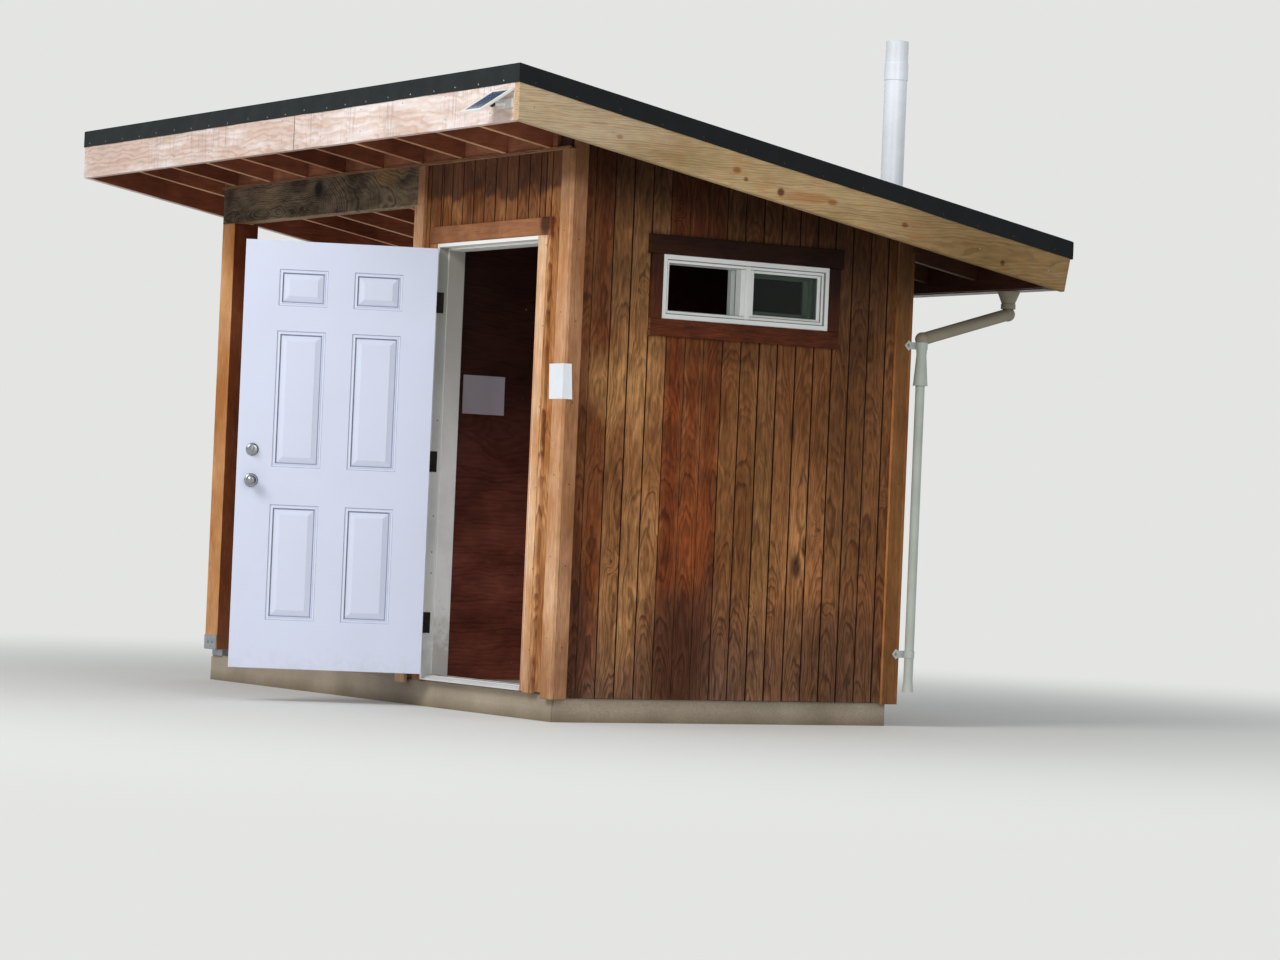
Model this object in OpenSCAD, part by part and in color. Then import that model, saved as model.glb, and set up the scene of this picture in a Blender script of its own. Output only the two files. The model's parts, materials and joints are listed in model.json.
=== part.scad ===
/* [Plan] */
// Width from the left post's outer face to the right wall's corner trim
body_w = 3570; // [3300:10:4000]
// Depth from the front corner trim's face to the back one's
body_d = 1940; // [1800:10:2200]
// Width of the closed room, measured from the right corner trim's face
room_w = 1463; // [1440:1:1600]
// Thickness of a wall: boards, studs and lining
wall_t = 120; // [100:1:150]
// Thickness of the trim boards that stand proud of the wall boards
trim_t = 19; // [15:1:25]
// Width of the trim boards
trim_w = 89; // [70:1:100]

/* [Slab] */
// Height of the concrete slab above the lowest ground
slab_h = 130; // [100:1:180]
// How far the side and back wall boards lap below the slab's top
side_lap = 20; // [10:1:60]
// How far the front wall boards lap below the slab's top
front_lap = 2; // [1:1:40]

/* [Roof] */
// Slope of the roof in degrees, falling to the back
pitch = 10; // [6:0.5:13]
// Height of the rafters' underside at the front wall's face
rafter_z = 2613; // [2560:1:2800]
// Depth of a rafter, square to its slope
rafter_h = 140; // [120:1:184]
// Thickness of a rafter
rafter_t = 38; // [30:1:45]
// Distance between rafter centres
rafter_step = 404; // [395:1:410]
// Distance from the right corner trim's face out to the centre of the first rafter
rafter_out = 202; // [150:1:250]
// Overhang in front of the front trim's face
over_front = 555; // [400:5:700]
// Overhang behind the back trim's face
over_back = 595; // [450:5:700]
// Overhang past the right corner trim's face
over_right = 450; // [400:5:480]
// Overhang past the left post
over_left = 583; // [540:1:620]
// Thickness of the fascia and rake boards
fascia_t = 38; // [25:1:45]
// Thickness of the roof boards
deck_t = 18; // [15:1:25]
// Thickness of the roof covering
cover_t = 22; // [15:1:30]
// Plumb height of the black edge trim
edge_h = 89; // [70:1:100]
// Thickness of the black edge trim
edge_t = 4; // [3:0.5:6]

/* [Door] */
// Width of the door leaf
leaf_w = 914; // [860:1:920]
// Height of the door leaf
leaf_h = 2032; // [1960:1:2040]
// Thickness of the door leaf
leaf_t = 44; // [40:1:46]
// Gap round the closed leaf
leaf_gap = 5; // [5:0.5:7]
// Distance from the right corner trim's face to the doorway
door_right = 272; // [260:1:280]
// Angle at which the door stands open
door_open = 115; // [60:1:150]
// Thickness of the door frame's boards
jamb_t = 19; // [18:1:25]
// Depth of the door frame, front to back
jamb_d = 135; // [125:1:139]
// Width of the casing boards left of, right of and over the door frame
casing_left = 72; // [60:1:90]
casing_right = 84; // [60:1:90]
casing_top = 82; // [60:1:100]
// Height of the knob above the leaf's lower edge
knob_z = 889; // [850:1:950]
// Height of the deadbolt above the leaf's lower edge
bolt_z = 1035; // [1010:1:1080]
// Distance from the leaf's free edge to the knob's centre
backset = 70; // [60:1:75]

/* [Window] */
// Width of the window frame
win_w = 933; // [880:1:960]
// Height of the window frame
win_h = 298; // [270:1:320]
// Distance from the front trim's face to the window frame
win_front = 516; // [480:1:540]
// Height of the window frame's lower edge
win_z = 1863; // [1820:1:1885]
// Width of the window frame's face
win_face = 41; // [35:1:45]
// Width of the raised rim round the window frame's face
win_rim = 25; // [20:1:30]
// Width of the trim boards at the window's sides
win_trim_w = 62; // [50:1:80]
// Height of the trim board under the window
win_apron = 80; // [60:1:95]
// Depth of the window frame
win_d = 80; // [60:1:90]
// Thickness of a pane
pane_t = 5; // [4:0.5:6]

/* [Bay] */
// Width of a post
post_w = 140; // [100:1:150]
// Depth of a post, front to back
post_d = 140; // [100:1:150]
// Gap between a post's foot and the slab
post_lift = 35; // [15:1:40]
// Height of a header beam
beam_h = 186; // [150:1:200]
// Depth of a header beam, front to back
beam_d = 89; // [80:1:100]

/* [Roof fittings] */
// Outer diameter of the vent pipe
vent_d = 110; // [100:1:115]
// Distance from the right corner trim's face to the vent pipe's axis
vent_right = 305; // [290:1:330]
// Distance from the back trim's face to the vent pipe's axis
vent_back = 62; // [60:1:100]
// Height of the vent pipe's top
vent_top = 3318; // [3200:1:3400]
// Width of the gutter
gutter_w = 127; // [100:1:130]
// Height of the gutter
gutter_h = 75; // [60:1:85]
// Distances from the left and right ends of the roof to the ends of the gutter
gutter_left = 160; // [100:1:250]
gutter_right = 162; // [100:1:250]
// Outer diameter of the downspout
spout_d = 45; // [40:1:50]
// Outer diameter of the slanted pipe between gutter and downspout
slant_d = 60; // [50:1:65]
// Height of the bands of the downspout's straps
strap_h = 34; // [25:1:40]
// Distance from the right corner trim's face to the gutter's outlet
outlet_right = 46; // [30:1:80]
// Width of the solar panel
solar_w = 175; // [150:1:190]
// Length of the solar panel up its slope
solar_l = 194; // [160:1:200]

/* [Hidden] */
$fn = 48;
slope = tan(pitch);
x_right = body_w / 2;
x_left = -body_w / 2;
x_room = x_right - room_w;
y_front = -body_d / 2;
y_back = body_d / 2;
// Faces of the wall boards and of the framing behind them
board = trim_t;
frame_in = 2 * trim_t;
wall_front = y_front + board;
wall_back = y_back - board;
wall_right = x_right - board;
wall_left = x_room + board;
// Heights of the roof's layers, plumb
rafter_plumb = rafter_h / cos(pitch);
deck_plumb = deck_t / cos(pitch);
cover_plumb = cover_t / cos(pitch);
fascia_low = 63;
roof_y0 = y_front - over_front;
roof_y1 = y_back + over_back;
roof_x0 = x_left - over_left;
roof_x1 = x_right + over_right;
back_fascia_y = roof_y1 - 45;
first_rafter = x_right + rafter_out;
rafter_n = floor((first_rafter - roof_x0 - fascia_t - rafter_t / 2) / rafter_step) + 1;
// Hair gap between sloped faces that lie on each other, so that rounding can't make them overlap
seat = 0.1;
function under(y) = rafter_z - slope * (y - y_front);
function over(y) = under(y) + rafter_plumb;
function deck_top(y) = over(y) + deck_plumb;
function cover_top(y) = deck_top(y) + cover_plumb;
function rake_low(y) = under(y) - fascia_low;
// Doorway
way_w = leaf_w + 2 * leaf_gap;
way_x1 = x_right - door_right;
way_x0 = way_x1 - way_w;
sill_t = 22;
leaf_z = slab_h + sill_t + 5;
way_z = leaf_z + leaf_h + leaf_gap + 4;
hole_x0 = way_x0 - jamb_t;
hole_x1 = way_x1 + jamb_t;
hole_z = way_z + jamb_t;
pin_d = 6;
pin_out = 7;
knuckle_d = 12;
pin_x = way_x0 + leaf_gap / 2;
pin_y = y_front - pin_out;
hinge_h = 100;
hinge_zs = [leaf_z + 245, leaf_z + leaf_h / 2, leaf_z + leaf_h - 255];
plate_t = 1.5;
plate_w = 34;
stop_y = y_front + leaf_t + leaf_gap;
stop_t = 12;
// Window, measured along the right wall
win_y0 = y_front + win_front;
win_y1 = win_y0 + win_w;
win_z1 = win_z + win_h;
win_step = 6;
mull_w = 72;
mull_y = (win_y0 + win_y1 - mull_w) / 2 + 8;
sash_w = win_w / 2 - 1.5;
sash_y = win_y1 - win_face - 12 - sash_w;
sash_face = 53;
sash_rail = 30;
// Beams and posts
frame_front = y_front + frame_in;
frame_back = y_back - frame_in;
beam_low = rafter_z - 11 - beam_h;
back_low = under(y_back) - beam_h;

// Helpers
// A box from one corner to the opposite one
module box(a, b) translate(a) cube(b - a);
// An outline in Y and Z, drawn out along X
module along_x(x0, x1, pts)
    translate([x0, 0, 0]) rotate([90, 0, 90]) linear_extrude(x1 - x0) polygon(pts);
// A wall piece that runs along X, with its top cut to the rafters' underside
module cross_wall(x0, x1, y0, y1, z0)
    along_x(x0, x1, [[y0, z0], [y1, z0], [y1, under(y1) - seat], [y0, under(y0) - seat]]);
// A rod between two points
module rod(a, b, d) {
    v = b - a;
    len = norm(v);
    translate(a) rotate([0, acos(v[2] / len), atan2(v[1], v[0])]) cylinder(h = len, d = d);
}
// Places a child given for the closed door at the angle where it stands open
module swung() translate([pin_x, pin_y, 0]) rotate([0, 0, -door_open]) children();

// Slab, walls and trim
module slab() color("darkgray")
    box([x_left, frame_front, 0], [x_right - frame_in, frame_back, slab_h]);

// The framing stands on the slab and the boards lap past its edge
module footed_wall(x0, x1, y0, y1, z0)
    difference() {
        cross_wall(x0, x1, y0, y1, z0);
        slab();
    }

module front_wall_left() color("saddlebrown")
    difference() {
        footed_wall(wall_left, hole_x0, wall_front, wall_front + wall_t, slab_h - front_lap);
        front_header_beam();
    }

module front_wall_right() color("saddlebrown")
    footed_wall(hole_x1, wall_right - board, wall_front, wall_front + wall_t, slab_h - front_lap);

module front_wall_over_door() color("saddlebrown")
    cross_wall(hole_x0, hole_x1, wall_front, wall_front + wall_t, hole_z);

module back_wall() color("saddlebrown")
    difference() {
        footed_wall(wall_left, wall_right - board, wall_back - wall_t, wall_back, slab_h - side_lap);
        back_header_beam();
    }

// A wall piece that runs along Y between the front and the back wall
module side_wall(x0, x1, z0)
    along_x(x0, x1, [[wall_front + wall_t, z0], [wall_back - wall_t, z0],
        [wall_back - wall_t, under(wall_back - wall_t) - seat],
        [wall_front + wall_t, under(wall_front + wall_t) - seat]]);

// The right wall runs up to the roof boards between two rafters
module right_wall() color("saddlebrown")
    difference() {
        union() {
            along_x(wall_right - wall_t, wall_right, [
                [wall_front + wall_t, slab_h], [wall_back - wall_t, slab_h],
                [wall_back - wall_t, under(wall_back - wall_t)], [wall_back, under(wall_back)],
                [wall_back, over(wall_back)], [wall_front, over(wall_front)],
                [wall_front, under(wall_front)], [wall_front + wall_t, under(wall_front + wall_t)]]);
            along_x(wall_right - board, wall_right, [
                [wall_front, slab_h - side_lap], [wall_back, slab_h - side_lap],
                [wall_back, over(wall_back)], [wall_front, over(wall_front)]]);
        }
        box([wall_right - wall_t - 1, win_y0, win_z], [wall_right + 1, win_y1, win_z1]);
    }

module partition_wall() color("saddlebrown")
    side_wall(wall_left, wall_left + wall_t, slab_h);

// Two boards that meet at a corner of the room
module corner_boards(x, y, sx, sy, z0, z1)
    translate([x, y, 0]) mirror([sx, 0, 0]) mirror([0, sy, 0]) {
        box([-trim_w, 0, z0], [0, trim_t, z1]);
        box([-trim_t, trim_t, z0], [0, trim_w, z1]);
    }

// The upper end of a side trim board, between the rafters
module trim_top(y0, y1)
    along_x(wall_right, x_right, [[y0, under(y0) - 20], [y1, under(y1) - 20], [y1, over(y1)], [y0, over(y0)]]);

module front_right_corner_trim() color("peru")
    difference() {
        union() {
            corner_boards(x_right, y_front, 0, 0, slab_h - side_lap - 5, rafter_z - 11);
            trim_top(y_front, y_front + trim_w);
        }
        front_frieze();
    }

module back_right_corner_trim() color("peru")
    union() {
        corner_boards(x_right, y_back, 0, 1, slab_h - side_lap - 5, under(y_back));
        trim_top(y_back - trim_w, y_back);
    }

module front_left_corner_trim() color("peru")
    difference() {
        corner_boards(x_room, y_front, 1, 0, slab_h - side_lap - 5, rafter_z - 11);
        box([x_left, y_front - 1, beam_low], [x_room + 26, y_front + beam_d + 1, 4000]);
        slab();
    }

module back_left_corner_trim() color("peru")
    difference() {
        corner_boards(x_room, y_back, 1, 1, slab_h - side_lap - 5, under(y_back));
        back_header_beam();
        slab();
    }

module front_frieze() color("burlywood")
    cross_wall(x_left, x_right - trim_t, y_front - 8, wall_front, rafter_z - 11);

// Door frame, casing and threshold
module door_frame() color("gainsboro")
    union() {
        box([hole_x0, y_front, slab_h], [way_x0, y_front + jamb_d, hole_z]);
        box([way_x1, y_front, slab_h], [hole_x1, y_front + jamb_d, hole_z]);
        box([hole_x0, y_front, way_z], [hole_x1, y_front + jamb_d, hole_z]);
        box([way_x0, stop_y, slab_h + sill_t], [way_x0 + stop_t, y_front + jamb_d, way_z]);
        box([way_x1 - stop_t, stop_y, slab_h + sill_t], [way_x1, y_front + jamb_d, way_z]);
        box([way_x0, stop_y, way_z - stop_t], [way_x1, y_front + jamb_d, way_z]);
    }

tread_n = floor((jamb_d - 50) / 24);
module threshold() color("white")
    difference() {
        along_x(way_x0, way_x1, [[y_front - 4, slab_h], [y_front + jamb_d, slab_h],
            [y_front + jamb_d, slab_h + sill_t], [y_front + 16, slab_h + sill_t],
            [y_front - 4, slab_h + sill_t - 12]]);
        for (i = [0:tread_n - 1])
            along_x(way_x0 - 1, way_x1 + 1, [[y_front + 28 + 24 * i, slab_h + sill_t + 1],
                [y_front + 32 + 24 * i, slab_h + sill_t - 3], [y_front + 44 + 24 * i, slab_h + sill_t - 3],
                [y_front + 48 + 24 * i, slab_h + sill_t + 1]]);
    }

module door_casing() color("peru")
    union() {
        box([hole_x0 - casing_left, y_front, slab_h - front_lap - 5], [hole_x0, wall_front, hole_z]);
        box([hole_x1, y_front, slab_h - front_lap - 5], [hole_x1 + casing_right, wall_front, hole_z]);
        box([hole_x0 - casing_left, y_front, hole_z], [hole_x1 + casing_right, wall_front, hole_z + casing_top]);
    }

// Hinges: the frame's half carries the pin
module frame_hinges() color("dimgray")
    for (z = hinge_zs) {
        translate([pin_x, pin_y, z - hinge_h / 2]) {
            cylinder(h = hinge_h, d = pin_d);
            for (k = [0, 2, 4]) translate([0, 0, k * hinge_h / 5])
                cylinder(h = hinge_h / 5 - 0.5, d = knuckle_d);
        }
        for (k = [0, 2, 4]) translate([way_x0, pin_y, z - hinge_h / 2 + k * hinge_h / 5])
            cube([plate_t, pin_out, hinge_h / 5 - 0.5]);
        box([way_x0, y_front, z - hinge_h / 2],
            [way_x0 + plate_t, y_front + plate_w, z + hinge_h / 2 - 0.5]);
    }

module leaf_hinges() color("dimgray")
    swung() for (z = hinge_zs) translate([0, 0, z - hinge_h / 2]) difference() {
        union() {
            for (k = [1, 3]) translate([0, 0, k * hinge_h / 5]) {
                cylinder(h = hinge_h / 5 - 0.5, d = knuckle_d);
                translate([leaf_gap / 2 - plate_t, 0, 0]) cube([plate_t, pin_out, hinge_h / 5 - 0.5]);
            }
            translate([leaf_gap / 2 - plate_t, pin_out, 0]) cube([plate_t, plate_w, hinge_h - 0.5]);
        }
        translate([0, 0, -1]) cylinder(h = hinge_h + 2, d = pin_d + 0.8);
    }

// Door leaf with six pressed panels on each face: an outer groove, then a raised field with sloped sides
panel_w = 230;
panel_side = 164;
panel_cols = [panel_side, leaf_w - panel_side - panel_w];
panel_rows = [[231, 547], [957, 647], [leaf_h - 309, 174]];
press = 5.5;
// The corners of a rectangle of w by h at height z, with its middle on the axis
function ring(w, h, z) = [[-w / 2, -h / 2, z], [w / 2, -h / 2, z], [w / 2, h / 2, z], [-w / 2, h / 2, z]];
// A block from z upwards whose top is wider and higher by grow than its foot
module taper(w, h, z, up, grow)
    polyhedron(points = concat(ring(w, h, z), ring(w + grow, h + grow, z + up)),
        faces = [[0, 1, 2, 3], [4, 5, 1, 0], [5, 6, 2, 1], [6, 7, 3, 2], [7, 4, 0, 3], [7, 6, 5, 4]]);
// What the press takes away from a face that lies at z = 0, the metal below it
module pressed_panel(w, h)
    difference() {
        union() {
            taper(w - 6, h - 6, -3, 4, 8);
            taper(w - 36, h - 36, -press, press - 0.5, 16);
        }
        translate([0, 0, -4]) difference() {
            linear_extrude(3) square([w - 18, h - 18], center = true);
            translate([0, 0, -1]) linear_extrude(5) square([w - 26, h - 26], center = true);
        }
        taper(w - 48, h - 48, -press - 1, press, -54);
    }

module door_leaf() color("whitesmoke")
    swung() translate([leaf_gap / 2, pin_out, leaf_z]) difference() {
        cube([leaf_w, leaf_t, leaf_h]);
        for (x = panel_cols) for (r = panel_rows) {
            translate([x + panel_w / 2, 0, r[0] + r[1] / 2]) rotate([90, 0, 0]) pressed_panel(panel_w, r[1]);
            translate([x + panel_w / 2, leaf_t, r[0] + r[1] / 2]) rotate([-90, 0, 0]) pressed_panel(panel_w, r[1]);
        }
    }

// Knob on both faces with its rose, neck and latch
module door_knob() color("silver")
    swung() translate([leaf_gap / 2 + leaf_w - backset, pin_out, leaf_z + knob_z]) {
        for (side = [0, 1]) translate([0, side * leaf_t, 0]) mirror([0, 1 - side, 0]) rotate([-90, 0, 0]) {
            cylinder(h = 3, d = 66);
            translate([0, 0, 3]) cylinder(h = 5, d1 = 62, d2 = 44);
            cylinder(h = 30, d = 24);
            intersection() {
                translate([0, 0, 42]) sphere(d = 56);
                translate([0, 0, 20]) cylinder(h = 43, d = 60);
            }
            translate([0, 0, 60]) cylinder(h = 5, d = 15);
        }
    }

module deadbolt() color("silver")
    swung() translate([leaf_gap / 2 + leaf_w - backset, pin_out, leaf_z + bolt_z]) {
        rotate([90, 0, 0]) {
            cylinder(h = 3, d = 60);
            translate([0, 0, 3]) cylinder(h = 15, d1 = 58, d2 = 46);
            translate([0, 0, 18]) cylinder(h = 2, d = 36);
        }
        translate([0, leaf_t, 0]) rotate([-90, 0, 0]) {
            cylinder(h = 4, d = 62);
            translate([0, 0, 4]) cylinder(h = 7, d1 = 60, d2 = 36);
            rotate([0, 0, -62]) translate([0, 0, 11]) linear_extrude(23) hull() {
                circle(d = 14);
                for (x = [-14, 14]) translate([x, 0]) circle(d = 8);
            }
        }
    }

// Window: a horizontal slider whose left half stands open
module window_frame() color("white")
    difference() {
        box([x_right - trim_t - win_d, win_y0, win_z], [x_right - 6, win_y1, win_z1]);
        // The face is set back inside its rim
        box([x_right - 6 - win_step, win_y0 + win_rim, win_z + win_rim],
            [x_right + 1, win_y1 - win_rim, win_z1 - win_rim]);
        box([0, win_y0 + win_face, win_z + win_face], [x_right + 1, mull_y, win_z1 - win_face]);
        box([0, mull_y + mull_w, win_z + win_face], [x_right + 1, win_y1 - win_face, win_z1 - win_face]);
        box([0, win_y0 + win_face, win_z + win_face],
            [x_right - trim_t - 42, win_y1 - win_face, win_z1 - win_face]);
    }

module window_sash() color("white")
    difference() {
        box([x_right - trim_t - 74, sash_y, win_z + win_face], [x_right - trim_t - 46, sash_y + sash_w, win_z1 - win_face]);
        box([0, sash_y + sash_face, win_z + win_face + sash_rail],
            [x_right + 1, sash_y + sash_w - sash_face, win_z1 - win_face - sash_rail]);
        // The rails and stiles are set back round the pane
        box([x_right - trim_t - 52, sash_y + sash_face - 12, win_z + win_face + sash_rail - 12],
            [x_right + 1, sash_y + sash_w - sash_face + 12, win_z1 - win_face - sash_rail + 12]);
    }

module window_glass() color("lightblue", 0.5) {
    box([x_right - trim_t - 22, mull_y + mull_w, win_z + win_face],
        [x_right - trim_t - 22 + pane_t, win_y1 - win_face, win_z1 - win_face]);
    box([x_right - trim_t - 62, sash_y + sash_face, win_z + win_face + sash_rail],
        [x_right - trim_t - 62 + pane_t, sash_y + sash_w - sash_face, win_z1 - win_face - sash_rail]);
}

module window_trim() color("brown")
    difference() {
        union() {
            box([wall_right, win_y0 - win_trim_w, win_z - win_apron], [x_right, win_y1 + win_trim_w, win_z1]);
            box([wall_right, win_y0 - win_trim_w - 16, win_z1],
                [x_right, win_y1 + win_trim_w + 16, win_z1 + trim_w]);
        }
        box([0, win_y0, win_z], [x_right + 1, win_y1, win_z1]);
    }

// Open bay: posts, feet and beams
module front_post() color("chocolate")
    box([x_left, y_front, slab_h + post_lift], [x_left + post_w, y_front + post_d, beam_low]);

module back_post() color("chocolate")
    box([x_left, y_back - post_d, slab_h + post_lift], [x_left + post_w, y_back, back_low]);

// A foot on the slab and a bent plate round the lower end of each post
module post_base(y, inward)
    translate([x_left, y, slab_h]) mirror([0, inward, 0]) {
        box([10, frame_front - y_front + 4, 0], [post_w - 10, post_d - 6, post_lift - 3]);
        box([0, -3, post_lift - 3], [post_w, post_d + 3, post_lift]);
        box([0, -3, post_lift - 3], [post_w, 0, post_lift + 73]);
        box([0, post_d, post_lift - 3], [post_w, post_d + 3, post_lift + 73]);
    }

module post_bases() color("lightgray") {
    post_base(y_front, 0);
    post_base(y_back, 1);
}

module front_header_beam() color("dimgray")
    difference() {
        cross_wall(x_left, x_room + 26, y_front, y_front + beam_d, beam_low);
        front_frieze();
    }

module back_header_beam() color("dimgray")
    cross_wall(x_left, x_room + 26, y_back - beam_d, y_back, back_low);

// Roof framing
module one_rafter(x)
    along_x(x - rafter_t / 2, x + rafter_t / 2, [
        [roof_y0 + fascia_t, under(roof_y0 + fascia_t)], [back_fascia_y - fascia_t, under(back_fascia_y - fascia_t)],
        [back_fascia_y - fascia_t, over(back_fascia_y - fascia_t)],
        [roof_y0 + fascia_t, over(roof_y0 + fascia_t)]]);

module rafters() color("sienna")
    for (i = [0:rafter_n - 1]) one_rafter(first_rafter - i * rafter_step);

// Short boards between the rafters over the front and back walls
module blocks_at(y)
    for (i = [1:rafter_n - 1]) {
        x1 = min(first_rafter - (i - 1) * rafter_step - rafter_t / 2, wall_right - wall_t);
        x0 = max(first_rafter - i * rafter_step + rafter_t / 2, x_left);
        if (x1 > x0)
            along_x(x0, x1, [[y, under(y)], [y + fascia_t, under(y + fascia_t)],
                [y + fascia_t, over(y + fascia_t)], [y, over(y)]]);
    }

module rafter_blocking() color("sienna") {
    blocks_at(y_front);
    blocks_at(y_back - fascia_t);
}

module front_fascia() color("wheat")
    along_x(roof_x0 + fascia_t, roof_x1 - fascia_t, [
        [roof_y0, rake_low(roof_y0)], [roof_y0 + fascia_t, rake_low(roof_y0)],
        [roof_y0 + fascia_t, over(roof_y0 + fascia_t)], [roof_y0, over(roof_y0)]]);

module back_fascia() color("wheat")
    along_x(roof_x0 + fascia_t, roof_x1 - fascia_t, [
        [back_fascia_y - fascia_t, under(back_fascia_y) - 44], [back_fascia_y, under(back_fascia_y) - 44],
        [back_fascia_y, over(back_fascia_y)], [back_fascia_y - fascia_t, over(back_fascia_y - fascia_t)]]);

// A rake board is cut plumb in front and square at the back
module rake(x0)
    along_x(x0, x0 + fascia_t, [[roof_y0, rake_low(roof_y0)],
        [roof_y1 - 36, rake_low(roof_y1 - 36)], [roof_y1, over(roof_y1)], [roof_y0, over(roof_y0)]]);

module left_rake_board() color("wheat") rake(roof_x0);

module right_rake_board() color("wheat") rake(roof_x1 - fascia_t);

module vent_hole(d)
    translate([x_right - vent_right, y_back + vent_back, 0]) cylinder(h = 4000, d = d);

module roof_deck() color("sienna")
    difference() {
        along_x(roof_x0, roof_x1, [[roof_y0, over(roof_y0) + seat], [roof_y1, over(roof_y1) + seat],
            [roof_y1, deck_top(roof_y1)], [roof_y0, deck_top(roof_y0)]]);
        vent_hole(vent_d + 12);
    }

module roof_covering() color("black")
    difference() {
        along_x(roof_x0, roof_x1, [[roof_y0, deck_top(roof_y0) + seat], [roof_y1, deck_top(roof_y1) + seat],
            [roof_y1, cover_top(roof_y1)], [roof_y0, cover_top(roof_y0)]]);
        vent_hole(vent_d + 12);
    }

module roof_edge_trim() color("black")
    difference() {
        along_x(roof_x0 - edge_t, roof_x1 + edge_t, [
            [roof_y0 - edge_t, cover_top(roof_y0) - edge_h], [roof_y1 + edge_t, cover_top(roof_y1) - edge_h],
            [roof_y1 + edge_t, cover_top(roof_y1) + 3], [roof_y0 - edge_t, cover_top(roof_y0) + 3]]);
        along_x(roof_x0, roof_x1, [[roof_y0, 0], [roof_y1, 0], [roof_y1, 4000], [roof_y0, 4000]]);
    }

// Vent pipe up the outside of the back wall, with an elbow into the wall
vent_x = x_right - vent_right;
vent_y = y_back + vent_back;
vent_low = slab_h + 420;
bend = vent_y - wall_back;
module vent_run(d)
    union() {
        translate([vent_x, vent_y, vent_low]) cylinder(h = vent_top - vent_low, d = d);
        translate([vent_x, vent_y - bend, vent_low]) rotate([90, 0, 90])
            rotate([0, 0, -90]) rotate_extrude(angle = 90) translate([bend, 0]) circle(d = d);
    }

module vent_pipe() color("white")
    difference() {
        union() {
            vent_run(vent_d);
            translate([vent_x, vent_y, vent_top - 190]) cylinder(h = 80, d = vent_d + 6);
        }
        translate([0, 0, 1]) translate([vent_x, vent_y, vent_low]) cylinder(h = vent_top, d = vent_d - 10);
    }

// A sheet under the vent pipe's boot, parallel to the roof
module roof_layer(x, y, r, low, high)
    along_x(x - r, x + r, [[y - r, cover_top(y - r) + low], [y + r, cover_top(y + r) + low],
        [y + r, cover_top(y + r) + high], [y - r, cover_top(y - r) + high]]);

module vent_flashing() color("black")
    difference() {
        union() {
            roof_layer(vent_x, vent_y, 122, seat, 4);
            difference() {
                translate([vent_x, vent_y, cover_top(vent_y) - 20])
                    cylinder(h = 75, d1 = vent_d + 60, d2 = vent_d + 10);
                roof_layer(vent_x, vent_y, 200, -100, 2);
            }
        }
        vent_hole(vent_d + 0.6);
    }

// Gutter, downspout and the straps that hold the pipes
gutter_z = under(back_fascia_y) - 48;
gutter_x0 = roof_x0 + gutter_left;
gutter_x1 = roof_x1 - gutter_right;
gutter_t = 3;
gutter_floor = gutter_w - 15;
out_x = x_right - outlet_right;
out_y = back_fascia_y + gutter_floor / 2;
spout_x = x_right + 20;
spout_y = y_back + 45;
elbow_z = slab_h + 1700;
// The gutter's section: a flat floor, a front that steps out, and a lip turned in at the top
function gutter_line(t, top) = [[t, t], [gutter_floor - t, t], [gutter_floor - t, gutter_h * 0.5],
    [gutter_w - t, gutter_h * 0.7], [gutter_w - t, top], [t, top]];
module gutter() color("saddlebrown")
    difference() {
        translate([0, back_fascia_y, gutter_z]) union() {
            difference() {
                along_x(gutter_x0, gutter_x1, gutter_line(0, gutter_h));
                along_x(gutter_x0 + gutter_t, gutter_x1 - gutter_t, gutter_line(gutter_t, gutter_h + 1));
            }
            box([gutter_x0, gutter_w - 14, gutter_h - gutter_t], [gutter_x1, gutter_w, gutter_h]);
        }
        translate([out_x, out_y, gutter_z - 1]) cylinder(h = 10, d = slant_d - 6);
    }

// The funnel under the gutter and the slanted pipe that leads to the downspout
module outlet_pipe() color("whitesmoke")
    difference() {
        union() {
            translate([out_x, out_y, gutter_z - 62]) cylinder(h = 62, d1 = slant_d + 2, d2 = gutter_floor);
            translate([out_x, out_y, gutter_z - 84]) cylinder(h = 24, d = slant_d + 12);
            translate([out_x, out_y, gutter_z - 110]) sphere(d = slant_d + 10);
            rod([out_x, out_y, gutter_z - 110], [spout_x, spout_y, elbow_z + 28], slant_d);
            translate([spout_x, spout_y, elbow_z + 28]) sphere(d = slant_d + 8);
        }
        translate([spout_x, spout_y, elbow_z - 50]) cylinder(h = 62, d = slant_d + 20);
    }

module downspout() color("whitesmoke")
    union() {
        translate([spout_x, spout_y, slab_h + 36]) cylinder(h = elbow_z - slab_h - 36, d = spout_d);
        translate([spout_x, spout_y, elbow_z - 40]) cylinder(h = 52, d = spout_d + 6);
        // The bell that slips over the straight pipe
        translate([spout_x, spout_y, elbow_z - 187]) cylinder(h = 150, d1 = spout_d + 24, d2 = spout_d + 2);
        translate([spout_x, spout_y, elbow_z - 195]) cylinder(h = 9, d = spout_d + 26);
        translate([spout_x, spout_y, slab_h + 36]) cylinder(h = 45, d1 = spout_d + 12, d2 = spout_d + 2);
    }

// A band round the pipe with a pointed tab that is screwed to the corner trim
module spout_strap(z, d)
    difference() {
        union() {
            translate([spout_x, spout_y, z - strap_h / 2]) cylinder(h = strap_h, d = d + 6);
            along_x(x_right, x_right + 3, [[y_back - 42, z], [y_back - 20, z - strap_h / 2 - 8],
                [y_back - 8, z - strap_h / 2], [spout_y, z - strap_h / 2], [spout_y, z + strap_h / 2],
                [y_back - 8, z + strap_h / 2], [y_back - 20, z + strap_h / 2 + 8]]);
        }
        translate([spout_x, spout_y, z - 60]) cylinder(h = 120, d = d + 0.4);
    }

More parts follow.
